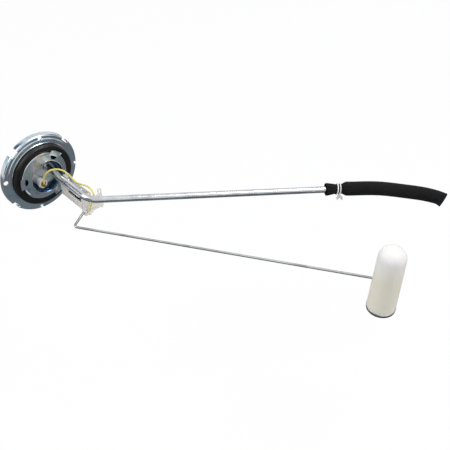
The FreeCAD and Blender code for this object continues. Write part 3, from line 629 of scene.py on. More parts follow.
@dataclass(frozen=True)
class BrassFinish:
    """Turned or pressed brass, a little tarnished."""

    name: str
    light: Colour = (0.72, 0.50, 0.20)
    tarnish: Colour = (0.42, 0.22, 0.07)

    def material(self) -> bpy.types.Material:
        """Build the material."""
        sheet = Sheet(self.name)
        patches = sheet.noise(380.0, 4.0)
        sheet.feed("Base Color", sheet.ramp(patches, [(0.36, self.tarnish), (0.58, self.light)]))
        sheet.feed("Roughness", sheet.between(patches, 0.26, 0.45))
        sheet.feed("Normal", sheet.bump(sheet.noise(2500.0, 2.0), 0.00003, 0.3))
        sheet.set(Metallic=1.0)
        return sheet.material


@dataclass(frozen=True)
class WovenCloth:
    """Fine black strainer cloth: threads round and along the sock."""

    name: str
    base: Colour = (0.0025, 0.0025, 0.003)
    worn: Colour = (0.012, 0.012, 0.013)
    threads_round: float = 36.0
    threads_along: float = 100.0

    def material(self) -> bpy.types.Material:
        """Build the material."""
        sheet = Sheet(self.name)
        weft = sheet.wave(1.0, sheet.mapped((0.0, self.threads_along, 0.0), "UV"), "Y")
        warp = sheet.wave(1.0, sheet.mapped((self.threads_round, 0.0, 0.0), "UV"), "X")
        weave = sheet.times(weft, warp)
        sheet.feed("Base Color", sheet.ramp(weft, [(0.35, self.base), (0.8, self.worn)]))
        sheet.feed("Normal", sheet.bump(weave, 0.0002, 0.6))
        sheet.set(Roughness=0.8, Sheen_Weight=0.02, Sheen_Roughness=0.4, Specular_IOR_Level=0.16)
        return sheet.material


@dataclass(frozen=True)
class PlainCoat:
    """Coloured insulation, card, cord or wire with a light grain."""

    name: str
    base: Colour
    shade: Colour
    roughness: tuple[float, float] = (0.35, 0.5)
    grain: float = 800.0
    metal: float = 0.0

    def material(self) -> bpy.types.Material:
        """Build the material."""
        sheet = Sheet(self.name)
        patches = sheet.noise(160.0, 3.0)
        sheet.feed("Base Color", sheet.ramp(patches, [(0.36, self.shade), (0.6, self.base)]))
        sheet.feed("Roughness", sheet.between(patches, *self.roughness))
        sheet.feed("Normal", sheet.bump(sheet.noise(self.grain, 2.0), 0.00006, 0.3))
        sheet.set(Metallic=self.metal)
        return sheet.material


@dataclass(frozen=True)
class Finishes:
    """Every material of the unit, made once."""

    plate: bpy.types.Material
    # hollow is painted shade: a dark, bluer copy of the plating for the cup's walls and the lug pockets,
    # standing in for their shade and dark reflections.
    hollow: bpy.types.Material
    ring: bpy.types.Material
    bracket: bpy.types.Material
    tube: bpy.types.Material
    wire: bpy.types.Material
    rubber: bpy.types.Material
    insulator: bpy.types.Material
    housing: bpy.types.Material
    float_shell: bpy.types.Material
    cap: bpy.types.Material
    brass: bpy.types.Material
    braze: bpy.types.Material
    lead: bpy.types.Material
    cloth: bpy.types.Material
    cord: bpy.types.Material
    card: bpy.types.Material
    winding: bpy.types.Material
    rivet: bpy.types.Material

    @staticmethod
    def made() -> "Finishes":
        """Make every material."""
        return Finishes(
            plate=ZincFinish("zinc_plate").material(),
            # Painted shade and dark reflection: the same zinc made dark and blue for the inside of the cup
            # and the pockets.
            hollow=ZincFinish("zinc_painted_shade", light=(0.14, 0.22, 0.31), dark=(0.02, 0.035, 0.06),
                              pink=(0.08, 0.13, 0.20), green=(0.06, 0.10, 0.14),
                               roughness=(0.10, 0.2)).material(),
            ring=ZincFinish("zinc_ring", light=(0.56, 0.66, 0.73), dark=(0.38, 0.48, 0.56)).material(),
            bracket=ZincFinish("zinc_bracket", light=(0.46, 0.49, 0.46), dark=(0.34, 0.37, 0.35),
                               pink=(0.48, 0.46, 0.48), green=(0.42, 0.48, 0.42),
                               roughness=(0.3, 0.45)).material(),
            tube=DrawnSteel("tinned_tube", (0.64, 0.65, 0.66), (0.50, 0.51, 0.52), (0.06, 0.06, 1.0),
                            (0.16, 0.24)).material(),
            wire=DrawnSteel("drawn_wire", (0.50, 0.50, 0.49), (0.34, 0.34, 0.33), (0.06, 0.06, 1.0),
                            (0.28, 0.42)).material(),
            rubber=RubberFinish("seal_rubber").material(),
            insulator=MouldedPlastic("insulator_moulding", (0.84, 0.82, 0.78), (0.76, 0.74, 0.69)).material(),
            housing=MouldedPlastic("housing_moulding", (0.84, 0.80, 0.77), (0.76, 0.72, 0.68),
                                   scatter=0.4).material(),
            # The float's fade is painted shade: its lower part darker and more beige, its dome lighter where
            # the light falls.
            float_shell=MouldedPlastic("float_moulding", (0.88, 0.87, 0.86), (0.82, 0.78, 0.67), (0.38, 0.5),
                                       0.5, 0.006, (-0.062, -0.026)).material(),
            cap=DrawnSteel("cap_steel", (0.46, 0.45, 0.44), (0.32, 0.31, 0.30), (1.0, 1.0, 0.1)).material(),
            brass=BrassFinish("terminal_brass").material(),
            braze=BrassFinish("brazing_metal", (0.62, 0.52, 0.32), (0.40, 0.34, 0.24)).material(),
            lead=PlainCoat("yellow_insulation", (0.80, 0.70, 0.19), (0.74, 0.62, 0.13)).material(),
            cloth=WovenCloth("strainer_cloth").material(),
            cord=PlainCoat("tie_cord", (0.86, 0.86, 0.84), (0.72, 0.72, 0.70), (0.6, 0.8), 2500.0).material(),
            card=PlainCoat("resistor_card", (0.03, 0.045, 0.035), (0.02, 0.03, 0.025)).material(),
            winding=PlainCoat("resistance_wire", (0.10, 0.12, 0.11), (0.05, 0.07, 0.06), (0.3, 0.4), 900.0,
                              1.0).material(),
            rivet=PlainCoat("rivet_metal", (0.66, 0.67, 0.68), (0.52, 0.53, 0.54),
                            (0.3, 0.42), 900.0, 1.0).material(),
        )


def dress(piece: bpy.types.Object, finish: bpy.types.Material) -> None:
    """Give a piece one material."""
    piece.data.materials.clear()
    piece.data.materials.append(finish)


def fit_out(piece: bpy.types.Object, body: Body, node: str, finish: bpy.types.Material) -> None:
    """Dress a piece, seat it on its body, and let it stand for a CAD node."""
    dress(piece, finish)
    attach(piece, body.value)
    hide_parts(node)
    LOG.info("%s: %d faces", piece.name, len(piece.data.polygons) if piece.type == "MESH" else 0)


# Head


@dataclass
class PlateHead:
    """Pressed plate, lock ring and seal, all round the X axis."""

    finishes: Finishes
    sheet: float = 1.2 * MM
    flange_r: float = 41.8 * MM
    spigot_r: float = 31.6 * MM
    spigot_h: float = 6.8 * MM
    edge_r: float = 1.4 * MM
    face_r: float = 29.7 * MM
    recess_r: float = 21.0 * MM
    recess_floor_r: float = 17.4 * MM
    recess_depth: float = 10.8 * MM
    recess_centre: Vector = field(default_factory=lambda: Vector((0.0, 3.7, -3.7)) * MM)
    lip: float = 1.6 * MM
    holes: tuple[tuple[float, float, float], ...] = ((9.0, 5.0, 4.0), (-3.0, -12.2, 3.8))
    ring_t: float = 1.5 * MM
    ring_outer: float = 51.8 * MM
    ring_inner: float = 36.0 * MM
    ring_rim: float = 9.6 * MM
    ring_bend: float = 2.6 * MM
    ring_step: float = 0.9 * MM
    ring_step_r: float = 46.4 * MM
    notch_count: int = 4
    notch_angle: float = 35.0
    notch_w: float = 11.0 * MM
    relief_r: float = 3.0 * MM
    lug_angles: tuple[float, ...] = (50.0, 175.0, 300.0)
    lug_holes: int = 2
    lug_sweep: float = 28.0
    lug_root: float = 27.6 * MM
    lug_tip: float = 34.6 * MM
    lug_hole_r: float = 5.0 * MM
    lug_hole_at: float = 27.9 * MM
    ramp_after: float = 32.0
    ramp_sweep: float = 34.0
    ramp_inner: float = 29.4 * MM
    ramp_rise: float = 0.55 * MM
    seal_w: float = 8.3 * MM

    def build(self) -> None:
        """Make and seat the head's pieces."""
        fit_out(self.lock_ring(), Body.RING, "lock_ring", self.finishes.ring)
        plate = self.plate()
        fit_out(plate, Body.HEAD, "mounting_plate", self.finishes.plate)
        # The cup's walls and the lug pockets get painted shade.
        self.paint_shade_in_hollows(plate)
        fit_out(self.seal(), Body.HEAD, "seal_ring", self.finishes.rubber)

    def lock_ring(self) -> bpy.types.Object:
        """Flat ring with its rim turned back, notched and pierced."""
        front = -self.sheet - 0.05 * MM
        inner_bend = self.ring_bend - self.ring_t
        low = front - self.ring_step
        hub = (low - self.ring_bend, self.ring_outer - self.ring_bend)
        step_r, thick, mm = self.ring_step_r, self.ring_t, MM
        outline = [(front - thick, self.ring_inner), (front - 0.3 * mm, self.ring_inner)]
        outline += [(front, self.ring_inner + 0.3 * mm), (front, step_r - 0.7 * mm)]
        outline += [(front - 0.15 * mm, step_r - 0.25 * mm), (low + 0.15 * mm, step_r + 0.25 * mm),
                    (low, step_r + 0.7 * mm)]
        outline += arc_points(hub, self.ring_bend, 0.0, 90.0, 8)
        outline += [(front - self.ring_rim, self.ring_outer),
                    (front - self.ring_rim, self.ring_outer - self.ring_t)]
        outline += arc_points(hub, inner_bend, 90.0, 0.0, 5)
        outline += [(low - thick, step_r), (front - thick, step_r - 1.4 * mm)]
        ring = turned("lock_ring_plated", outline, Vector(), X_AXIS, 192)
        spacing = 360.0 / self.notch_count
        for step in range(self.notch_count):
            carve(ring, self.notch_cutter(front, about_x(self.notch_angle + step * spacing)))
            relief = drum("relief", Vector((front + 1 * MM, self.ring_outer - 3.4 * MM, 0.0)), -X_AXIS,
                          self.relief_r, 6 * MM, 40)
            relief.data.transform(about_x(self.notch_angle + (step + 0.5) * spacing))
            carve(ring, relief)
        eased(ring, 0.22 * MM)
        return ring

    def notch_cutter(self, front: float, turn: Matrix) -> bpy.types.Object:
        """Cutter for one driving notch, with rounded inner corners."""
        low = Vector((front - self.ring_rim - 1 * MM, self.ring_outer - 3.6 * MM, -self.notch_w / 2))
        high = Vector((front + 1 * MM, self.ring_outer + 2 * MM, self.notch_w / 2))
        cutter = block("notch", low, high)
        use_modifier(cutter, "BEVEL", width=1.0 * MM, segments=4)
        cutter.data.transform(turn)
        return cutter

    def plate(self) -> bpy.types.Object:
        """One pressed sheet: flange, spigot and off-centre cup, with its lugs, ramps and holes."""
        top = self.spigot_h
        inner = self.spigot_r - self.sheet
        corner = (top - self.edge_r, self.spigot_r - self.edge_r)
        outline = [(top, self.face_r)] + arc_points(corner, self.edge_r, 0.0, 90.0, 6)
        outline += [(0.5 * MM, self.spigot_r), (0.0, self.spigot_r + 0.5 * MM),
                    (0.0, self.flange_r - 0.3 * MM)]
        outline += [(-0.3 * MM, self.flange_r), (-self.sheet + 0.3 * MM, self.flange_r)]
        outline += [(-self.sheet, self.flange_r - 0.4 * MM), (-self.sheet, inner + 0.5 * MM)]
        outline += [(-self.sheet + 0.5 * MM, inner), (top - self.sheet - 0.4 * MM, inner)]
        outline += [(top - self.sheet, inner - 0.4 * MM), (top - self.sheet, self.face_r)]
        shell = turned("plate_pressed", outline, Vector(), X_AXIS, 160, closed=False)
        plate = joined("plate_pressed", [shell, self.cup()])
        for level in (top, top - self.sheet):
            self.bridge(plate, level)
        for y, z, radius in self.holes:
            carve(plate, drum("hole", Vector((-9.0, y, z)) * MM, X_AXIS, radius * MM, 10 * MM))
        for index, angle in enumerate(self.lug_angles):
            if index < self.lug_holes:
                pocket = self.pocket(angle, self.lug_hole_r + 0.8 * MM, top - 6.0 * MM, top - 0.5 * MM)
                carve(plate, pocket, "UNION")
                carve(plate, self.pocket(angle, self.lug_hole_r, top - 5.2 * MM, top + 2 * MM))
            carve(plate, self.slit(angle + self.ramp_after))
            carve(plate, self.ramp(angle + self.ramp_after), "UNION")
            carve(plate, self.lug(angle), "UNION")
        eased(plate, 0.16 * MM)
        return plate

    def paint_shade_in_hollows(self, plate: bpy.types.Object) -> None:
        """Paint shade on the drawn walls of the cup and of the pockets: they get the dark copy of the
        plating, which stands in for their shade and dark reflections.
        """
        plate.data.materials.append(self.finishes.hollow)
        top = self.spigot_h
        floor = top - self.recess_depth
        for face in plate.data.polygons:
            across = math.hypot(face.center.y, face.center.z)
            # Faces inside the cup and the pockets take the painted-shade plating.
            if floor + 0.25 * MM < face.center.x < top - 0.12 * MM and across < 30.2 * MM:
                face.material_index = 1

    def pocket(self, angle: float, radius: float, low: float, high: float) -> bpy.types.Object:
        """Drum at a lug's hole, kept inside the spigot's wall."""
        drawn = drum("pocket", Vector((low, self.lug_hole_at, 0.0)), X_AXIS, radius, high - low, 40)
        drawn.data.transform(about_x(angle))
        inside = self.spigot_r - self.sheet * 0.5 + (radius - self.lug_hole_r) * 0.5 - 0.8 * MM
        limit = drum("limit", Vector((low - 1 * MM, 0.0, 0.0)), X_AXIS, inside, high - low + 2 * MM, 160)
        carve(drawn, limit, "INTERSECT")
        return drawn

    def cup(self) -> bpy.types.Object:
        """Deep cup, open where its lip meets the raised face."""
        top = self.spigot_h
        floor = top - self.recess_depth
        low_r, high_r, mm = self.recess_floor_r, self.recess_r, MM
        outline = [(top, high_r + self.lip), (top, high_r + 1.3 * mm), (top - 0.15 * mm, high_r + 0.7 * mm)]
        outline += [(top - 0.5 * mm, high_r + 0.25 * mm), (top - 1.2 * mm, high_r - 0.15 * mm)]
        outline += [(floor + 1.8 * mm, low_r + 0.5 * mm), (floor + 0.6 * mm, low_r)]
        outline += [(floor, low_r - 1.1 * mm), (floor, 0.0), (floor - self.sheet, 0.0)]
        outline += [(floor - self.sheet, low_r - 0.1 * mm), (floor + 0.2 * mm, low_r + 1.5 * mm)]
        outline += [(top - self.sheet - 0.6 * mm, high_r + 1.1 * mm), (top - self.sheet, high_r + self.lip)]
        return turned("cup", outline, self.recess_centre, X_AXIS, 128, closed=False)

    def bridge(self, plate: bpy.types.Object, level: float) -> None:
        """Join the raised face's open edge to the cup's lip at one level."""
        points = plate.data.vertices

        def on_rim(edge: bpy.types.MeshEdge) -> bool:
            """Whether an edge lies on one of the two open rims."""
            for index in edge.vertices:
                place = points[index].co
                if abs(place.x - level) > 1e-6:
                    return False
                outer = abs(math.hypot(place.y, place.z) - self.face_r)
                offset = place - self.recess_centre
                if min(outer, abs(math.hypot(offset.y, offset.z) - self.recess_r - self.lip)) > 1e-6:
                    return False
            return True

        select_edges(plate, on_rim)
        bpy.ops.mesh.bridge_edge_loops()
        bpy.ops.mesh.select_all(action="SELECT")
        bpy.ops.mesh.normals_make_consistent(inside=False)
        bpy.ops.object.mode_set(mode="OBJECT")

    def lug(self, angle: float) -> bpy.types.Object:
        """Lug lanced from the raised face, rising over the seal."""
        top = self.spigot_h
        outline = [(top - 0.7 * MM, self.lug_root), (top - 0.02 * MM, self.lug_root),
                   (top + 1.5 * MM, self.lug_tip),
                   (top + 0.65 * MM, self.lug_tip)]
        lug = turned("lug", outline, Vector(), X_AXIS, 12, self.lug_sweep)
        lug.data.transform(about_x(angle - 90.0))
        return lug

    def ramp(self, angle: float) -> bpy.types.Object:
        """Raised tongue along the edge of the raised face."""
        top = self.spigot_h
        outer = self.spigot_r - 0.1 * MM
        outline = [(top - 0.9 * MM, self.ramp_inner), (top + self.ramp_rise, self.ramp_inner + 0.2 * MM),
                   (top + self.ramp_rise, outer - 0.7 * MM), (top - 0.9 * MM, outer)]
        ramp = turned("ramp", outline, Vector(), X_AXIS, 16, self.ramp_sweep)
        ramp.data.transform(about_x(angle - 90.0))
        return ramp

    def slit(self, angle: float) -> bpy.types.Object:
        """Lanced slit just inside a ramp."""
        top = self.spigot_h
        outer = self.ramp_inner + 0.1 * MM
        outline = [(top - 2.0 * MM, outer - 0.7 * MM), (top + 1 * MM, outer - 0.7 * MM),
                   (top + 1 * MM, outer),
                   (top - 2.0 * MM, outer)]
        slit = turned("slit", outline, Vector(), X_AXIS, 16, self.ramp_sweep * 0.72)
        slit.data.transform(about_x(angle - 90.0))
        return slit

    def seal(self) -> bpy.types.Object:
        """Thick ring with rounded shoulders and a fine flash line."""
        inner = self.spigot_r + 0.15 * MM
        outer = inner + self.seal_w
        high = self.spigot_h - 0.6 * MM
        soft = 2.6 * MM
        outline = [(0.0, inner + 0.6 * MM)]
        outline += arc_points((1.6 * MM, outer - 1.6 * MM), 1.6 * MM, 180.0, 90.0, 5)
        outline += [(high / 2 - 0.15 * MM, outer), (high / 2, outer + 0.12 * MM),
                    (high / 2 + 0.15 * MM, outer)]
        outline += arc_points((high - soft, outer - soft), soft, 90.0, 0.0, 8)
        outline += arc_points((high - 1.8 * MM, inner + 1.8 * MM), 1.8 * MM, 0.0, -90.0, 6)
        ring = turned("seal_rubber_ring", outline, Vector(), X_AXIS, 160)
        smoothed(ring, 50.0)
        return ring


def about_x(angle: float) -> Matrix:
    """Turn about the X axis, in degrees from Y toward Z."""
    return Matrix.Rotation(math.radians(angle), 4, "X")


# Pickup


@dataclass
class PickupLine:
    """Bent tube and the tied cloth sock on its end."""

    finishes: Finishes
    tube_r: float = 4.0 * MM
    wall: float = 0.8 * MM
    y: float = 9.0 * MM
    z: float = 5.0 * MM
    corner_x: float = 93.0 * MM
    yaw: float = 61.4
    pitch: float = -8.9
    bend_r: float = 20.0 * MM
    stub: float = 42.0 * MM
    run: float = 328.0 * MM
    tie_at: float = 308.5 * MM
    sock_start: float = 292.0 * MM
    sock_straight_end: float = 318.0 * MM
    sock_r: float = 8.8 * MM
    curve_r: float = 400.0 * MM
    curve_turn: float = 18.9
    sock_end: float = 6.0 * MM
    neck_r: float = 5.5 * MM
    folds: int = 11
    tie_r: float = 0.8 * MM

    @property
    def corner(self) -> Vector:
        """Where the tube's two runs would meet."""
        return Vector((self.corner_x, self.y, self.z))

    @property
    def heading(self) -> Vector:
        """Direction of the long run."""
        return polar(self.yaw, self.pitch)

    def build(self) -> None:
        """Make and seat the tube, sock and tie."""
        fit_out(self.tube(), Body.HEAD, "pickup_tube", self.finishes.tube)
        sock = self.sock()
        fit_out(sock, Body.HEAD, "strainer_sock", self.finishes.cloth)
        fit_out(self.tie(), Body.HEAD, "sock_tie", self.finishes.cord)

    def tube(self) -> bpy.types.Object:
        """Open tube with a bead behind the tie."""
        start = Vector((-self.stub, self.y, self.z))
        end = self.corner + self.heading * self.run
        tube = bar("tube_tinned", [start, self.corner, end], [self.bend_r], self.tube_r, 56)
        use_modifier(tube, "SOLIDIFY", thickness=self.wall, offset=Side.INWARD.value)
        bead = turned("bead", [(-1.6 * MM, self.tube_r - 0.3 * MM), (-1.6 * MM, self.tube_r)]
                      + arc_points((0.0, self.tube_r - 0.6 * MM), 1.3 * MM, 152.0, 28.0, 8)
                      + [(1.6 * MM, self.tube_r), (1.6 * MM, self.tube_r - 0.3 * MM)],
                      self.corner + self.heading * (self.tie_at + 7.0 * MM), self.heading, 56)
        tube = joined("tube_tinned", [tube, bead])
        smoothed(tube)
        return tube

    def cloth_length(self) -> float:
        """Length of the cloth along the sock."""
        straight = self.sock_straight_end - self.sock_start
        return straight + math.radians(self.curve_turn) * self.curve_r + self.sock_end

    def place(self, distance: float) -> tuple[Vector, Vector]:
        """Centre and heading of the sock at a distance from its open neck."""
        along = self.heading
        level = along.cross(Z_AXIS).normalized()
        down = -level.cross(along)
        straight = self.sock_straight_end - self.sock_start
        if distance <= straight:
            return self.corner + along * (self.sock_start + distance), along
        turn = min((distance - straight) / self.curve_r, math.radians(self.curve_turn))
        past = max(distance - straight - math.radians(self.curve_turn) * self.curve_r, 0.0)
        start = self.corner + along * self.sock_straight_end
        direction = along * math.cos(turn) + down * math.sin(turn)
        ahead = along * (self.curve_r * math.sin(turn))
        centre = start + ahead + down * (self.curve_r * (1 - math.cos(turn)))
        return centre + direction * past, direction

    def section(self, distance: float, angle: float) -> tuple[float, float]:
        """Half widths of the sock's section at one spot of its cloth.

        Args:
            distance: distance from the open neck.
            angle: angle round the sock.

        Returns:
            The section's radius sideways and its radius up and down.
        """
        tie = self.tie_at - self.sock_start
        gap = abs(distance - tie)
        gather = math.exp(-((gap / (9.0 * MM)) ** 2))
        shape = self.sock_r + (self.neck_r - self.sock_r) * math.exp(-((gap / (7.5 * MM)) ** 4))
        if distance < tie:
            shape = self.neck_r + (7.4 * MM - self.neck_r) * min(1.0, gap / (14.0 * MM)) ** 1.3
            gather = min(1.0, 0.35 + gap / (14.0 * MM))
        fold = 0.55 * MM * gather * math.cos(self.folds * angle + 1.6 * math.sin(3.0 * angle))
        slack = 0.28 * MM * math.sin(distance / (11.0 * MM) + 2.0 * math.sin(angle)) * (1.0 - gather)
        end = max(0.0, (distance - (self.cloth_length() - 16.0 * MM)) / (16.0 * MM))
        flat = 1.0 - 0.80 * end ** 2.2
        tall = 1.0 + (0.22 - 0.2 * math.sin(angle)) * end ** 2.0
        radius = shape + fold + slack
        return radius * flat, radius * tall

    def sock(self) -> bpy.types.Object:
        """One rolled cloth, gathered at the tie and pressed flat at its sewn end."""
        rings, sides = 150, 96
        deselect()
        bpy.ops.mesh.primitive_grid_add(x_subdivisions=sides, y_subdivisions=rings, size=2.0)
        sock = named("sock_cloth")
        length = self.cloth_length()
        for vertex in sock.data.vertices:
            angle = (vertex.co.x + 1.0) * math.pi
            distance = (vertex.co.y + 1.0) / 2 * length
            centre, direction = self.place(distance)
            side = direction.cross(Z_AXIS).normalized()
            up = side.cross(direction)
            wide, tall = self.section(distance, angle)
            vertex.co = centre + side * (wide * math.cos(angle)) + up * (tall * math.sin(angle))
        pick(sock)
        bpy.ops.object.mode_set(mode="EDIT")
        bpy.ops.mesh.select_all(action="SELECT")
        bpy.ops.mesh.remove_doubles(threshold=1e-6)
        bpy.ops.mesh.normals_make_consistent(inside=False)
        bpy.ops.object.mode_set(mode="OBJECT")
        use_modifier(sock, "SOLIDIFY", thickness=0.45 * MM, offset=Side.INWARD.value)
        smoothed(sock, 60.0)
        return sock

    def tie(self) -> bpy.types.Object:
        """Waxed cord: two turns, a knot, two loops and two tails."""
        along = self.heading
        level = along.cross(Z_AXIS).normalized()
        up = level.cross(along)
        middle = self.corner + along * self.tie_at
        radius = self.neck_r + self.tie_r + 0.35 * MM
        turns = []
        for step in range(61):
            angle = math.radians(-100.0 + step * 12.0)
            drift = along * ((step / 60.0 - 0.5) * 6.4 * MM)
            turns.append(middle + drift + (level * math.cos(angle) + up * math.sin(angle)) * radius)
        low = (level * 0.45 - Z_AXIS * 0.9).normalized()
        knot = middle + low * (radius + 0.8 * MM)
        strands = [turns]
        for side, reach in ((1.0, 6.5), (-1.0, 5.5)):
            tip = knot + (along * side * 0.55 + low).normalized() * reach * MM
            wide = (along * 0.9 + level * 0.2).normalized() * 1.3 * MM
            strands.append([knot, knot + low * 1.5 * MM + wide, tip + wide * 0.6, tip + low * 0.8 * MM,
                            tip - wide * 0.8, knot + low * 1.2 * MM - wide * 0.7, knot])
            strands.append([knot, knot + along * side * 2.0 * MM + low * 1.4 * MM,
                            knot + along * side * 3.4 * MM + low * 4.4 * MM])
        strands.append([knot - along * 1.3 * MM, knot + low * 0.9 * MM, knot + along * 1.3 * MM])
        cords = [self.strand(f"strand_{index}", points) for index, points in enumerate(strands)]
        return joined("tie_cord_knotted", cords)

    def strand(self, name: str, points: list[Vector]) -> bpy.types.Object:
        """Round cord along a smooth line, as a mesh."""
        curve = bpy.data.curves.new(name, "CURVE")
        curve.dimensions = "3D"
        curve.bevel_depth = self.tie_r
        curve.bevel_resolution = 3
        curve.resolution_u = 6
        curve.use_fill_caps = True
        spline = curve.splines.new("NURBS")
        spline.points.add(len(points) - 1)
        for point, place in zip(spline.points, points):
            point.co = (*place, 1.0)
        spline.order_u = 3
        spline.use_endpoint_u = True
        piece = bpy.data.objects.new(name, curve)
        bpy.context.scene.collection.objects.link(piece)
        pick(piece)
        bpy.ops.object.convert(target="MESH")
        smoothed(piece, 60.0)
        return piece


# Resistor box and lead


@dataclass
class ResistorBox:
    """Moulded box on its bracket, with the lead that comes down to it."""

    finishes: Finishes
    low: Vector = field(default_factory=lambda: Vector((13.5, 15.3, -33.0)) * MM)
    high: Vector = field(default_factory=lambda: Vector((70.0, 24.5, -6.0)) * MM)
    wall: float = 1.4 * MM
    heel_long: float = 7.4 * MM
    heel_high: float = 4.0 * MM
    panel_y: float = 40.2 * MM
    panel_top: float = -13.0 * MM
    arch_w: float = 5.0 * MM
    arch_h: float = 7.0 * MM
    pivot: Vector = field(default_factory=lambda: Vector((66.0, 15.3, -32.0)) * MM)
    boss_r: float = 4.9 * MM
    bush_r: float = 2.6 * MM
    tube_y: float = 9.0 * MM
    tube_z: float = 5.0 * MM
    strap_x: tuple[float, float] = (22.0 * MM, 79.5 * MM)
    strap_t: float = 1.2 * MM
    strap_r: float = 4.05 * MM
    saddle_start: float = 192.0
    saddle_end: float = 288.0
    shelf_top: float = -4.8 * MM
    shelf_y: float = 23.5 * MM
    lead_r: float = 1.1 * MM
    lead_route: tuple[tuple[float, float, float], ...] = (
        (8.6, -3.7, -9.6), (10.2, -4.6, -3.5), (13.6, -4.9, 4.2), (17.6, -1.6, 11.6), (22.3, 5.3, 15.4),
        (27.6, 12.6, 14.0), (33.2, 17.6, 9.2), (40.2, 19.2, 4.0), (48.0, 19.8, 1.0), (56.4, 23.2, 0.8),
        (65.4, 26.4, 1.1), (73.4, 27.0, -3.2), (76.3, 25.4, -10.0), (76.2, 21.4, -16.0),
        (74.8, 18.4, -22.0), (74.0, 17.6, -28.0),
    )
    lead_length: float = 121.9 * MM
    window: tuple[Spot, Spot] = ((30.0, 12.0, -21.5), (61.0, 18.0, -10.0))
    rib_count: int = 5
    rib: tuple[Spot, Spot] = ((17.5, 14.5, -30.4), (18.5, 15.8, -23.9))
    rib_gap: float = 10.6
    hook_starts: tuple[float, float] = (25.5, 47.0)
    hook_w: float = 5.0
    hook_y: tuple[float, float] = (18.0, 25.9)
    hook_low: float = -35.5
    inner_share: Spot = (1.0, 0.434, 0.9)
    inner_from: tuple[float, float, float] = (0.0, 14.53 * MM, -33.0 * MM)
    bush_shift: float = -1.0 * MM
    trims: tuple[tuple[float, float], ...] = ((67.0 * MM, 81.0 * MM), (20.0 * MM, 25.0 * MM))
    rivet_mid: Spot = (41.75 * MM, 19.5 * MM, -4.8 * MM)
    rivet_reach: float = 14 * MM
    rivet_outline: tuple[tuple[float, float], ...] = (
        (-3.4, 0.0), (-3.4, 2.0), (-2.6, 2.0), (-2.6, 1.4), (0.0, 1.4), (0.0, 2.6), (0.55, 2.2), (1.1, 1.0),
        (1.1, 0.0),
    )

    def build(self) -> None:
        """Make and seat the box, its insides, the bracket, the terminal's parts and the lead."""
        finishes = self.finishes
        fit_out(self.housing(), Body.HEAD, "rheostat_housing", finishes.housing)
        fit_out(self.lid(), Body.HEAD, "housing_lid", finishes.housing)
        fit_out(self.bracket(), Body.HEAD, "sender_bracket", finishes.bracket)
        fit_out(self.rivets(), Body.HEAD, "housing_rivets", finishes.rivet)
        for node, finish, edge in (
                ("terminal_insulator", finishes.insulator, 0.2),
                ("insulator_washer", finishes.insulator, 0.2),
                ("terminal_nut", finishes.brass, 0.2), ("lead_eye", finishes.brass, 0.12),
                ("lead_clip", finishes.housing, 0.12), ("pivot_bush", finishes.insulator, 0.1)):
            piece = copy_of_node(node, node + "_dressed")
            if node == "pivot_bush":
                piece.data.transform(Matrix.Translation((0.0, self.bush_shift, 0.0)))
            eased(piece, edge * MM)
            fit_out(piece, Body.HEAD, node, finish)
        for node, finish, body in (
                ("resistor_card", finishes.card, Body.HEAD),
                ("resistor_winding", finishes.winding, Body.HEAD),
                ("pivot_hub", finishes.insulator, Body.ARM), ("wiper_strip", finishes.brass, Body.ARM),
                ("wiper_contact", finishes.brass, Body.ARM)):
            fit_out(self.fitted(node), body, node, finish)
        self.lead()

    def fitted(self, node: str) -> bpy.types.Object:
        """Copy of an inner CAD node, drawn in to the real box's depth and height."""
        piece = copy_of_node(node, node + "_fitted")
        bpy.ops.object.mode_set(mode="EDIT")
        bpy.ops.mesh.select_all(action="SELECT")
        bpy.ops.transform.resize(value=self.inner_share, center_override=self.inner_from)
        bpy.ops.object.mode_set(mode="OBJECT")
        smoothed(piece)
        return piece

    def heeled(self, name: str, low: Vector, high: Vector, inset: float) -> bpy.types.Object:
        """Block with its lower rear corner sloped off."""
        place = self.low + Vector((inset + self.heel_long, 0.0, inset))
        return sliced(block(name, low, high), place, Vector((-self.heel_high, 0.0, -self.heel_long)))

    def housing(self) -> bpy.types.Object:
        """Box open at the back, with a window, ribs, a pivot boss and its wide end panel."""
        low, high, wall = self.low, self.high, self.wall
        box = self.heeled("housing_moulded", low, high, 0.0)
        use_modifier(box, "BEVEL", width=1.0 * MM, segments=3, limit_method="ANGLE",
                     angle_limit=math.radians(25.0))
        margin = Vector((wall, wall, wall))
        carve(box, self.heeled("hollow", low + margin, high + Vector((-wall, 9 * MM, -wall)), wall))
        window = block_mm("window", *self.window)
        use_modifier(window, "BEVEL", width=1.5 * MM, segments=3)
        carve(box, window)
        carve(box, drum("bush_hole", self.pivot - Y_AXIS * 3 * MM, Y_AXIS, self.bush_r, 6 * MM))
        parts = [united([box] + self.panel()), self.boss()]
        low_rib, high_rib = self.rib
        for step in range(self.rib_count):
            ahead = step * self.rib_gap
            parts.append(block_mm(f"rib_{step}", (low_rib[0] + ahead, *low_rib[1:]),
                                  (high_rib[0] + ahead, *high_rib[1:])))
        housing = joined("housing_moulded", parts)
        eased(housing, 0.25 * MM)
        return housing

    def boss(self) -> bpy.types.Object:
        """Round boss for the pivot bush on the front wall."""
        front, face, back = -1.4 * MM, 0.9 * MM, 9.2 * MM
        skirt_r = self.boss_r - 1.1 * MM
        outline = [(front, self.bush_r), (front, self.boss_r), (back, self.boss_r),
                   (back, skirt_r), (face, skirt_r), (face, self.bush_r)]
        return turned("boss", outline, self.pivot, Y_AXIS, 48)

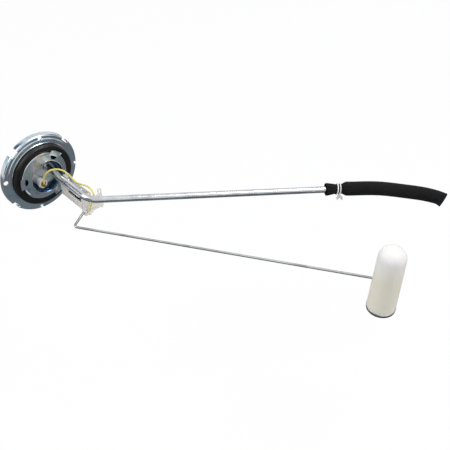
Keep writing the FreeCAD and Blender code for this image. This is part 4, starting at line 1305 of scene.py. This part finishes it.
    def panel(self) -> list[bpy.types.Object]:
        """Wide end wall with an arched lug at its top corner and a nub below."""
        x0, x1, y1 = self.high.x - self.wall, self.high.x, self.panel_y
        bottom, top = self.low.z, self.panel_top
        arch = block("arch", Vector((x0, y1 - self.arch_w, top - 2 * MM)),
                     Vector((x1, y1, top + self.arch_h)))
        bar_w = 1.3 * MM
        eye = block("eye", Vector((x0 - 1 * MM, y1 - self.arch_w + bar_w, top)),
                    Vector((x1 + 1 * MM, y1 - bar_w, top + self.arch_h - bar_w)))
        carve(arch, eye)
        wall = block("panel", Vector((x0, self.high.y - 1 * MM, bottom)), Vector((x1, y1, top)))
        nub = block("nub", Vector((x0, y1 - 3.1 * MM, bottom - 1.8 * MM)),
                    Vector((x1, y1 - 1.5 * MM, bottom + 1 * MM)))
        return [wall, arch, nub]

    def lid(self) -> bpy.types.Object:
        """Snap-on lid with two hooks below."""
        back, thick = self.high.y, self.wall
        high = Vector((self.high.x - self.wall - 0.1 * MM, back + thick, self.high.z))
        parts = [self.heeled("lid_moulded", Vector((self.low.x, back, self.low.z)), high, 0.0)]
        low_z, (y0, y1) = self.hook_low, self.hook_y
        for x0 in self.hook_starts:
            x1 = x0 + self.hook_w
            parts.append(united([
                block_mm("hook", (x0, y0, low_z), (x1, y1, low_z + 1.2)),
                block_mm("root", (x0, y1 - 1.4, low_z), (x1, y1, low_z + 3.0)),
                block_mm("tooth", (x0, y0, low_z), (x1, y0 + 2.3, low_z + 2.2))]))
        lid = united(parts)
        eased(lid, 0.25 * MM)
        return lid

    def bracket(self) -> bpy.types.Object:
        """Saddle under the tube, its leg and the shelf that holds the box."""
        thick, inner = self.strap_t, self.strap_r
        outer = inner + thick
        tube = (self.tube_y, self.tube_z)
        front = self.tube_y + outer * math.cos(math.radians(self.saddle_end))
        top = self.shelf_top
        outline = arc_points(tube, outer, self.saddle_start, self.saddle_end, 18)
        outline += [(front, top - 0.4 * MM), (front + 0.8 * MM, top - thick), (self.shelf_y, top - thick)]
        outline += [(self.shelf_y, top), (front + thick + 1.0 * MM, top), (front + thick, top + 1.0 * MM)]
        outline += arc_points(tube, inner, self.saddle_end + 14.0, self.saddle_start, 18)
        bracket = slab("bracket_folded", outline, *self.strap_x)
        under = self.tube_z - 6 * MM
        for x0, x1 in self.trims:
            trim = block("trim", Vector((x0, self.tube_y, -9 * MM)), Vector((x1, 30 * MM, under)))
            carve(bracket, trim)
        eased(bracket, 0.2 * MM)
        return bracket

    def rivets(self) -> bpy.types.Object:
        """Two round-headed rivets through the shelf."""
        scaled = [(along * MM, radius * MM) for along, radius in self.rivet_outline]
        heads = [turned(f"rivet_{side}", scaled, Vector(self.rivet_mid) + X_AXIS * side * self.rivet_reach,
                        Z_AXIS, 32, closed=False) for side in (-1, 1)]
        rivets = joined("rivets_headed", heads)
        smoothed(rivets)
        return rivets

    def lead(self) -> None:
        """Yellow lead on the route of its CAD tube."""
        curve = bpy.data.curves.new("lead_insulated", "CURVE")
        curve.dimensions = "3D"
        curve.bevel_depth = self.lead_r
        curve.bevel_resolution = 5
        curve.resolution_u = 10
        curve.use_fill_caps = True
        spline = curve.splines.new("NURBS")
        spline.points.add(len(self.lead_route) - 1)
        for point, place in zip(spline.points, self.lead_route):
            point.co = (place[0] * MM, place[1] * MM, place[2] * MM, 1.0)
        spline.order_u = 3
        spline.use_endpoint_u = True
        piece = bpy.data.objects.new("lead_insulated", curve)
        bpy.context.scene.collection.objects.link(piece)
        fit_out(piece, Body.HEAD, "lead_wire", self.finishes.lead)


# Arm and float


@dataclass
class FloatSet:
    """Bent arm wire, moulded float and its cap."""

    finishes: Finishes
    wire_r: float = 1.5 * MM
    pivot: Vector = field(default_factory=lambda: Vector((66.0, 0.0, -32.0)) * MM)
    inner_y: float = 24.2 * MM
    exit_y: float = 12.2 * MM
    elbow: Vector = field(default_factory=lambda: Vector((76.5, -8.9, -35.4)) * MM)
    yaw: float = 37.2
    pitch: float = -5.1
    reach: float = 380.0 * MM
    insert: float = 11.0 * MM
    bend_r: float = 3.4 * MM
    float_r: float = 17.5 * MM
    above: float = 50.0 * MM
    below: float = 44.0 * MM
    taper: float = 0.6 * MM
    lean: float = 0.06

    @property
    def heading(self) -> Vector:
        """Direction of the long arm."""
        return polar(self.yaw, self.pitch)

    @property
    def centre(self) -> Vector:
        """Point of the float's axis that the arm meets."""
        return self.elbow + self.heading * self.reach

    @property
    def upright(self) -> Vector:
        """The float's own axis, leaning a little along the arm."""
        return (Z_AXIS - self.heading * (self.heading.z - self.lean)).normalized()

    def build(self) -> None:
        """Make and seat the arm, float and cap."""
        fit_out(self.arm(), Body.ARM, "float_arm", self.finishes.wire)
        fit_out(self.shell(), Body.FLOAT, "float_body", self.finishes.float_shell)
        fit_out(self.cap(), Body.FLOAT, "float_cap", self.finishes.cap)

    def arm(self) -> bpy.types.Object:
        """One wire from the pivot to the float."""
        start = self.pivot + Y_AXIS * self.inner_y
        turn_point = self.pivot + Y_AXIS * self.exit_y
        tip = self.centre - self.heading * (self.float_r - self.insert)
        arm = bar("arm_wire", [start, turn_point, self.elbow, tip], [self.bend_r * 0.7, self.bend_r],
                  self.wire_r, 32)
        capped(arm)
        smoothed(arm)
        return arm

    def shell(self) -> bpy.types.Object:
        """Float with a domed top and a socket for the arm."""
        top_r = self.float_r - self.taper
        dome = top_r * 0.92
        base = self.above - dome
        outline = [(-self.below + 0.3 * MM, 0.2 * MM), (-self.below + 0.3 * MM, self.float_r - 1.2 * MM)]
        outline += arc_points((-self.below + 1.2 * MM, self.float_r - 1.2 * MM), 1.1 * MM, 180.0, 90.0, 4)
        steps = 24
        for step in range(1, 7):
            share = step / 7.0
            along = -self.below + 2 * MM + (base + self.below - 2 * MM) * share
            outline.append((along, self.float_r - self.taper * share))
        for step in range(steps):
            angle = math.radians(90.0 * step / steps)
            outline.append((base + dome * math.sin(angle), top_r * math.cos(angle)))
        outline.append((self.above, 0.2 * MM))
        shell = turned("float_moulded", outline, self.centre, self.upright, 96)
        socket = self.centre - self.heading * (self.float_r + 2 * MM)
        carve(shell, drum("socket", socket, self.heading, self.wire_r + 0.1 * MM, self.insert + 2.3 * MM, 32))
        smoothed(shell, 50.0)
        return shell

    def cap(self) -> bpy.types.Object:
        """Thin cap with a rolled lip round the float's lower end."""
        base = -self.below
        outline = [(base - 1.0 * MM, 0.2 * MM), (base - 1.0 * MM, self.float_r - 0.9 * MM)]
        outline += arc_points((base - 0.1 * MM, self.float_r - 0.9 * MM), 0.9 * MM, 180.0, 90.0, 5)
        outline += [(base + 2.4 * MM, self.float_r)]
        outline += arc_points((base + 2.9 * MM, self.float_r), 0.42 * MM, 160.0, 20.0, 6)
        outline += [(base + 3.4 * MM, self.float_r - 0.05 * MM), (base + 3.4 * MM, self.float_r - 0.45 * MM)]
        outline += [(base + 0.2 * MM, self.float_r - 0.45 * MM), (base + 0.2 * MM, 0.2 * MM)]
        cap = turned("float_cap_pressed", outline, self.centre, self.upright, 96)
        smoothed(cap, 50.0)
        return cap


# Studio


@dataclass
class Studio:
    """Camera at the photo's angle, pale floor, soft lights and dark cards for the metal."""

    focal_px: float = 1077.0
    frame_px: float = 450.0
    place: Vector = field(default_factory=lambda: Vector((1011.2, -462.4, 772.7)) * MM)
    right: Vector = field(default_factory=lambda: Vector((0.6315, 0.7720, -0.0709)))
    up: Vector = field(default_factory=lambda: Vector((-0.4530, 0.4415, 0.7743)))
    floor_drop: float = 190.0 * MM

    def build(self, low: Vector) -> None:
        """Set the camera, world, floor, lamps and cards."""
        self.camera()
        self.world()
        self.floor(low.z - self.floor_drop)
        self.lamps()
        self.cards(low.z)
        bpy.context.scene.view_settings.view_transform = "Standard"

    def camera(self) -> None:
        """Long lens from above, beside the tank's side of the plate."""
        data = bpy.data.cameras.new("photo_camera")
        data.sensor_width = 36.0
        data.lens = data.sensor_width * self.focal_px / self.frame_px
        data.clip_start = 0.05
        data.clip_end = 50.0
        camera = bpy.data.objects.new("photo_camera", data)
        bpy.context.scene.collection.objects.link(camera)
        back = self.right.cross(self.up).normalized()
        across, upward = self.right.normalized(), back.cross(self.right).normalized()
        pose = Matrix((across, upward, back)).transposed().to_4x4()
        pose.translation = self.place
        camera.matrix_world = pose
        bpy.context.scene.camera = camera

    def world(self) -> None:
        """White to the camera and to mirrors, soft grey to everything else."""
        world = bpy.data.worlds.new("studio_world")
        bpy.context.scene.world = world
        world.use_nodes = True
        tree = world.node_tree
        background = tree.nodes["Background"]
        background.inputs["Color"].default_value = (0.96, 0.98, 1.0, 1.0)
        spread = tree.nodes.new("ShaderNodeMapRange")
        spread.inputs["To Min"].default_value = 0.48
        spread.inputs["To Max"].default_value = 1.0
        tree.links.new(self.seen_ray(tree), spread.inputs["Value"])
        tree.links.new(spread.outputs["Result"], background.inputs["Strength"])

    @staticmethod
    def seen_ray(tree: bpy.types.NodeTree) -> bpy.types.NodeSocket:
        """Socket that is 1 for the camera's own rays and for mirrored ones."""
        rays = tree.nodes.new("ShaderNodeLightPath")
        most = tree.nodes.new("ShaderNodeMath")
        most.operation = "MAXIMUM"
        tree.links.new(rays.outputs["Is Camera Ray"], most.inputs[0])
        tree.links.new(rays.outputs["Is Glossy Ray"], most.inputs[1])
        return most.outputs["Value"]

    def floor(self, height: float) -> None:
        """Pale floor that keeps the object's shadow but looks white."""
        deselect()
        bpy.ops.mesh.primitive_plane_add(size=12.0, location=(0.2, 0.15, height))
        floor = named("studio_floor")
        sheet = Sheet("floor_paper")
        sheet.set(Base_Color=(0.93, 0.93, 0.93, 1.0), Roughness=0.9)
        tree = sheet.tree
        glow = tree.nodes.new("ShaderNodeEmission")
        glow.inputs["Strength"].default_value = 1.0
        share = tree.nodes.new("ShaderNodeMath")
        share.operation = "MULTIPLY"
        share.inputs[1].default_value = 0.92
        tree.links.new(self.seen_ray(tree), share.inputs[0])
        mix = tree.nodes.new("ShaderNodeMixShader")
        tree.links.new(share.outputs["Value"], mix.inputs["Fac"])
        tree.links.new(sheet.shader.outputs["BSDF"], mix.inputs[1])
        tree.links.new(glow.outputs["Emission"], mix.inputs[2])
        tree.links.new(mix.outputs["Shader"], tree.nodes["Material Output"].inputs["Surface"])
        dress(floor, sheet.material)
        floor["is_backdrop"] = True

    def lamps(self) -> None:
        """Two soft boxes."""
        target = Vector((0.16, 0.12, -0.03))
        for name, place, size, power in (("key_box", Vector((1.0, 0.9, 1.7)), 0.9, 24.0),
                                         ("fill_box", Vector((-0.6, -0.9, 1.2)), 1.0, 12.0)):
            light = bpy.data.lights.new(name, "AREA")
            light.energy = power
            light.size = size
            lamp = bpy.data.objects.new(name, light)
            bpy.context.scene.collection.objects.link(lamp)
            lamp.matrix_world = (target - place).to_track_quat("-Z", "Y").to_matrix().to_4x4()
            lamp.location = place

    def cards(self, level: float) -> None:
        """Dark cards that only the metal's reflections see: one under the unit and one at each side."""
        low = Vector((0.55, 0.15, level))
        for name, centre, toward, wide, tall, near, far in (
                ("card_low", low, low + Z_AXIS, 1.9, 1.9, (0.20, 0.23, 0.25), (0.04, 0.045, 0.05)),
                ("card_rim", Vector((-0.85, -0.36, 0.65)), Vector((0.0, 0.0, 0.0)), 0.7, 0.5,
                 (0.04, 0.06, 0.13), (0.04, 0.06, 0.13)),
                ("card_left", Vector((0.25, -1.0, 0.25)), Vector((0.1, 0.0, 0.0)), 0.9, 0.5,
                 (0.01, 0.015, 0.03), (0.02, 0.03, 0.05)),
                ("card_right", Vector((0.3, 1.1, 0.4)), Vector((0.1, 0.1, 0.0)), 0.7, 0.5,
                 (0.01, 0.015, 0.03), (0.02, 0.03, 0.05))):
            deselect()
            bpy.ops.mesh.primitive_plane_add(size=1.0)
            card = named(name)
            frame = (toward - centre).to_track_quat("Z", "Y").to_matrix().to_4x4()
            frame.translation = centre
            card.data.transform(frame @ Matrix.Diagonal((wide, tall, 1.0, 1.0)))
            card.visible_camera = False
            card.visible_diffuse = False
            card.visible_shadow = False
            card.visible_transmission = False
            dress(card, self.card_paint(name, near, far))
            card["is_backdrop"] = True

    def card_paint(self, name: str, near: Colour, far: Colour) -> bpy.types.Material:
        """Glowing paint that fades along X, so that a card's tone doesn't hang on the lamps."""
        sheet = Sheet(name + "_paint")
        glow = sheet.tree.nodes.new("ShaderNodeEmission")
        parts = sheet.tree.nodes.new("ShaderNodeSeparateXYZ")
        sheet.link(sheet.coordinates.outputs["Object"], parts.inputs["Vector"])
        fade = sheet.ramp(sheet.spread(parts.outputs["X"], 0.05, 0.9), [(0.0, near), (1.0, far)])
        sheet.link(fade, glow.inputs["Color"])
        sheet.link(glow.outputs["Emission"], sheet.tree.nodes["Material Output"].inputs["Surface"])
        return sheet.material


def dress_small_nodes(finishes: Finishes) -> None:
    """Give the CAD nodes that stay their materials."""
    for node, finish in (("tube_braze", finishes.braze), ("terminal_stud", finishes.brass)):
        dress(FRAME_NODES[node], finish)
        LOG.info("%s: CAD node dressed", node)


def main() -> None:
    """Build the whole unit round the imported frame."""
    logging.basicConfig(level=logging.INFO, format="%(message)s")
    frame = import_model()
    FRAME_NODES.update(frame["nodes"])
    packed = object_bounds()
    finishes = Finishes.made()
    Studio().build(packed[0])
    ResistorBox(finishes).build()
    PlateHead(finishes).build()
    PickupLine(finishes).build()
    FloatSet(finishes).build()
    dress_small_nodes(finishes)


if __name__ == "__main__":
    main()
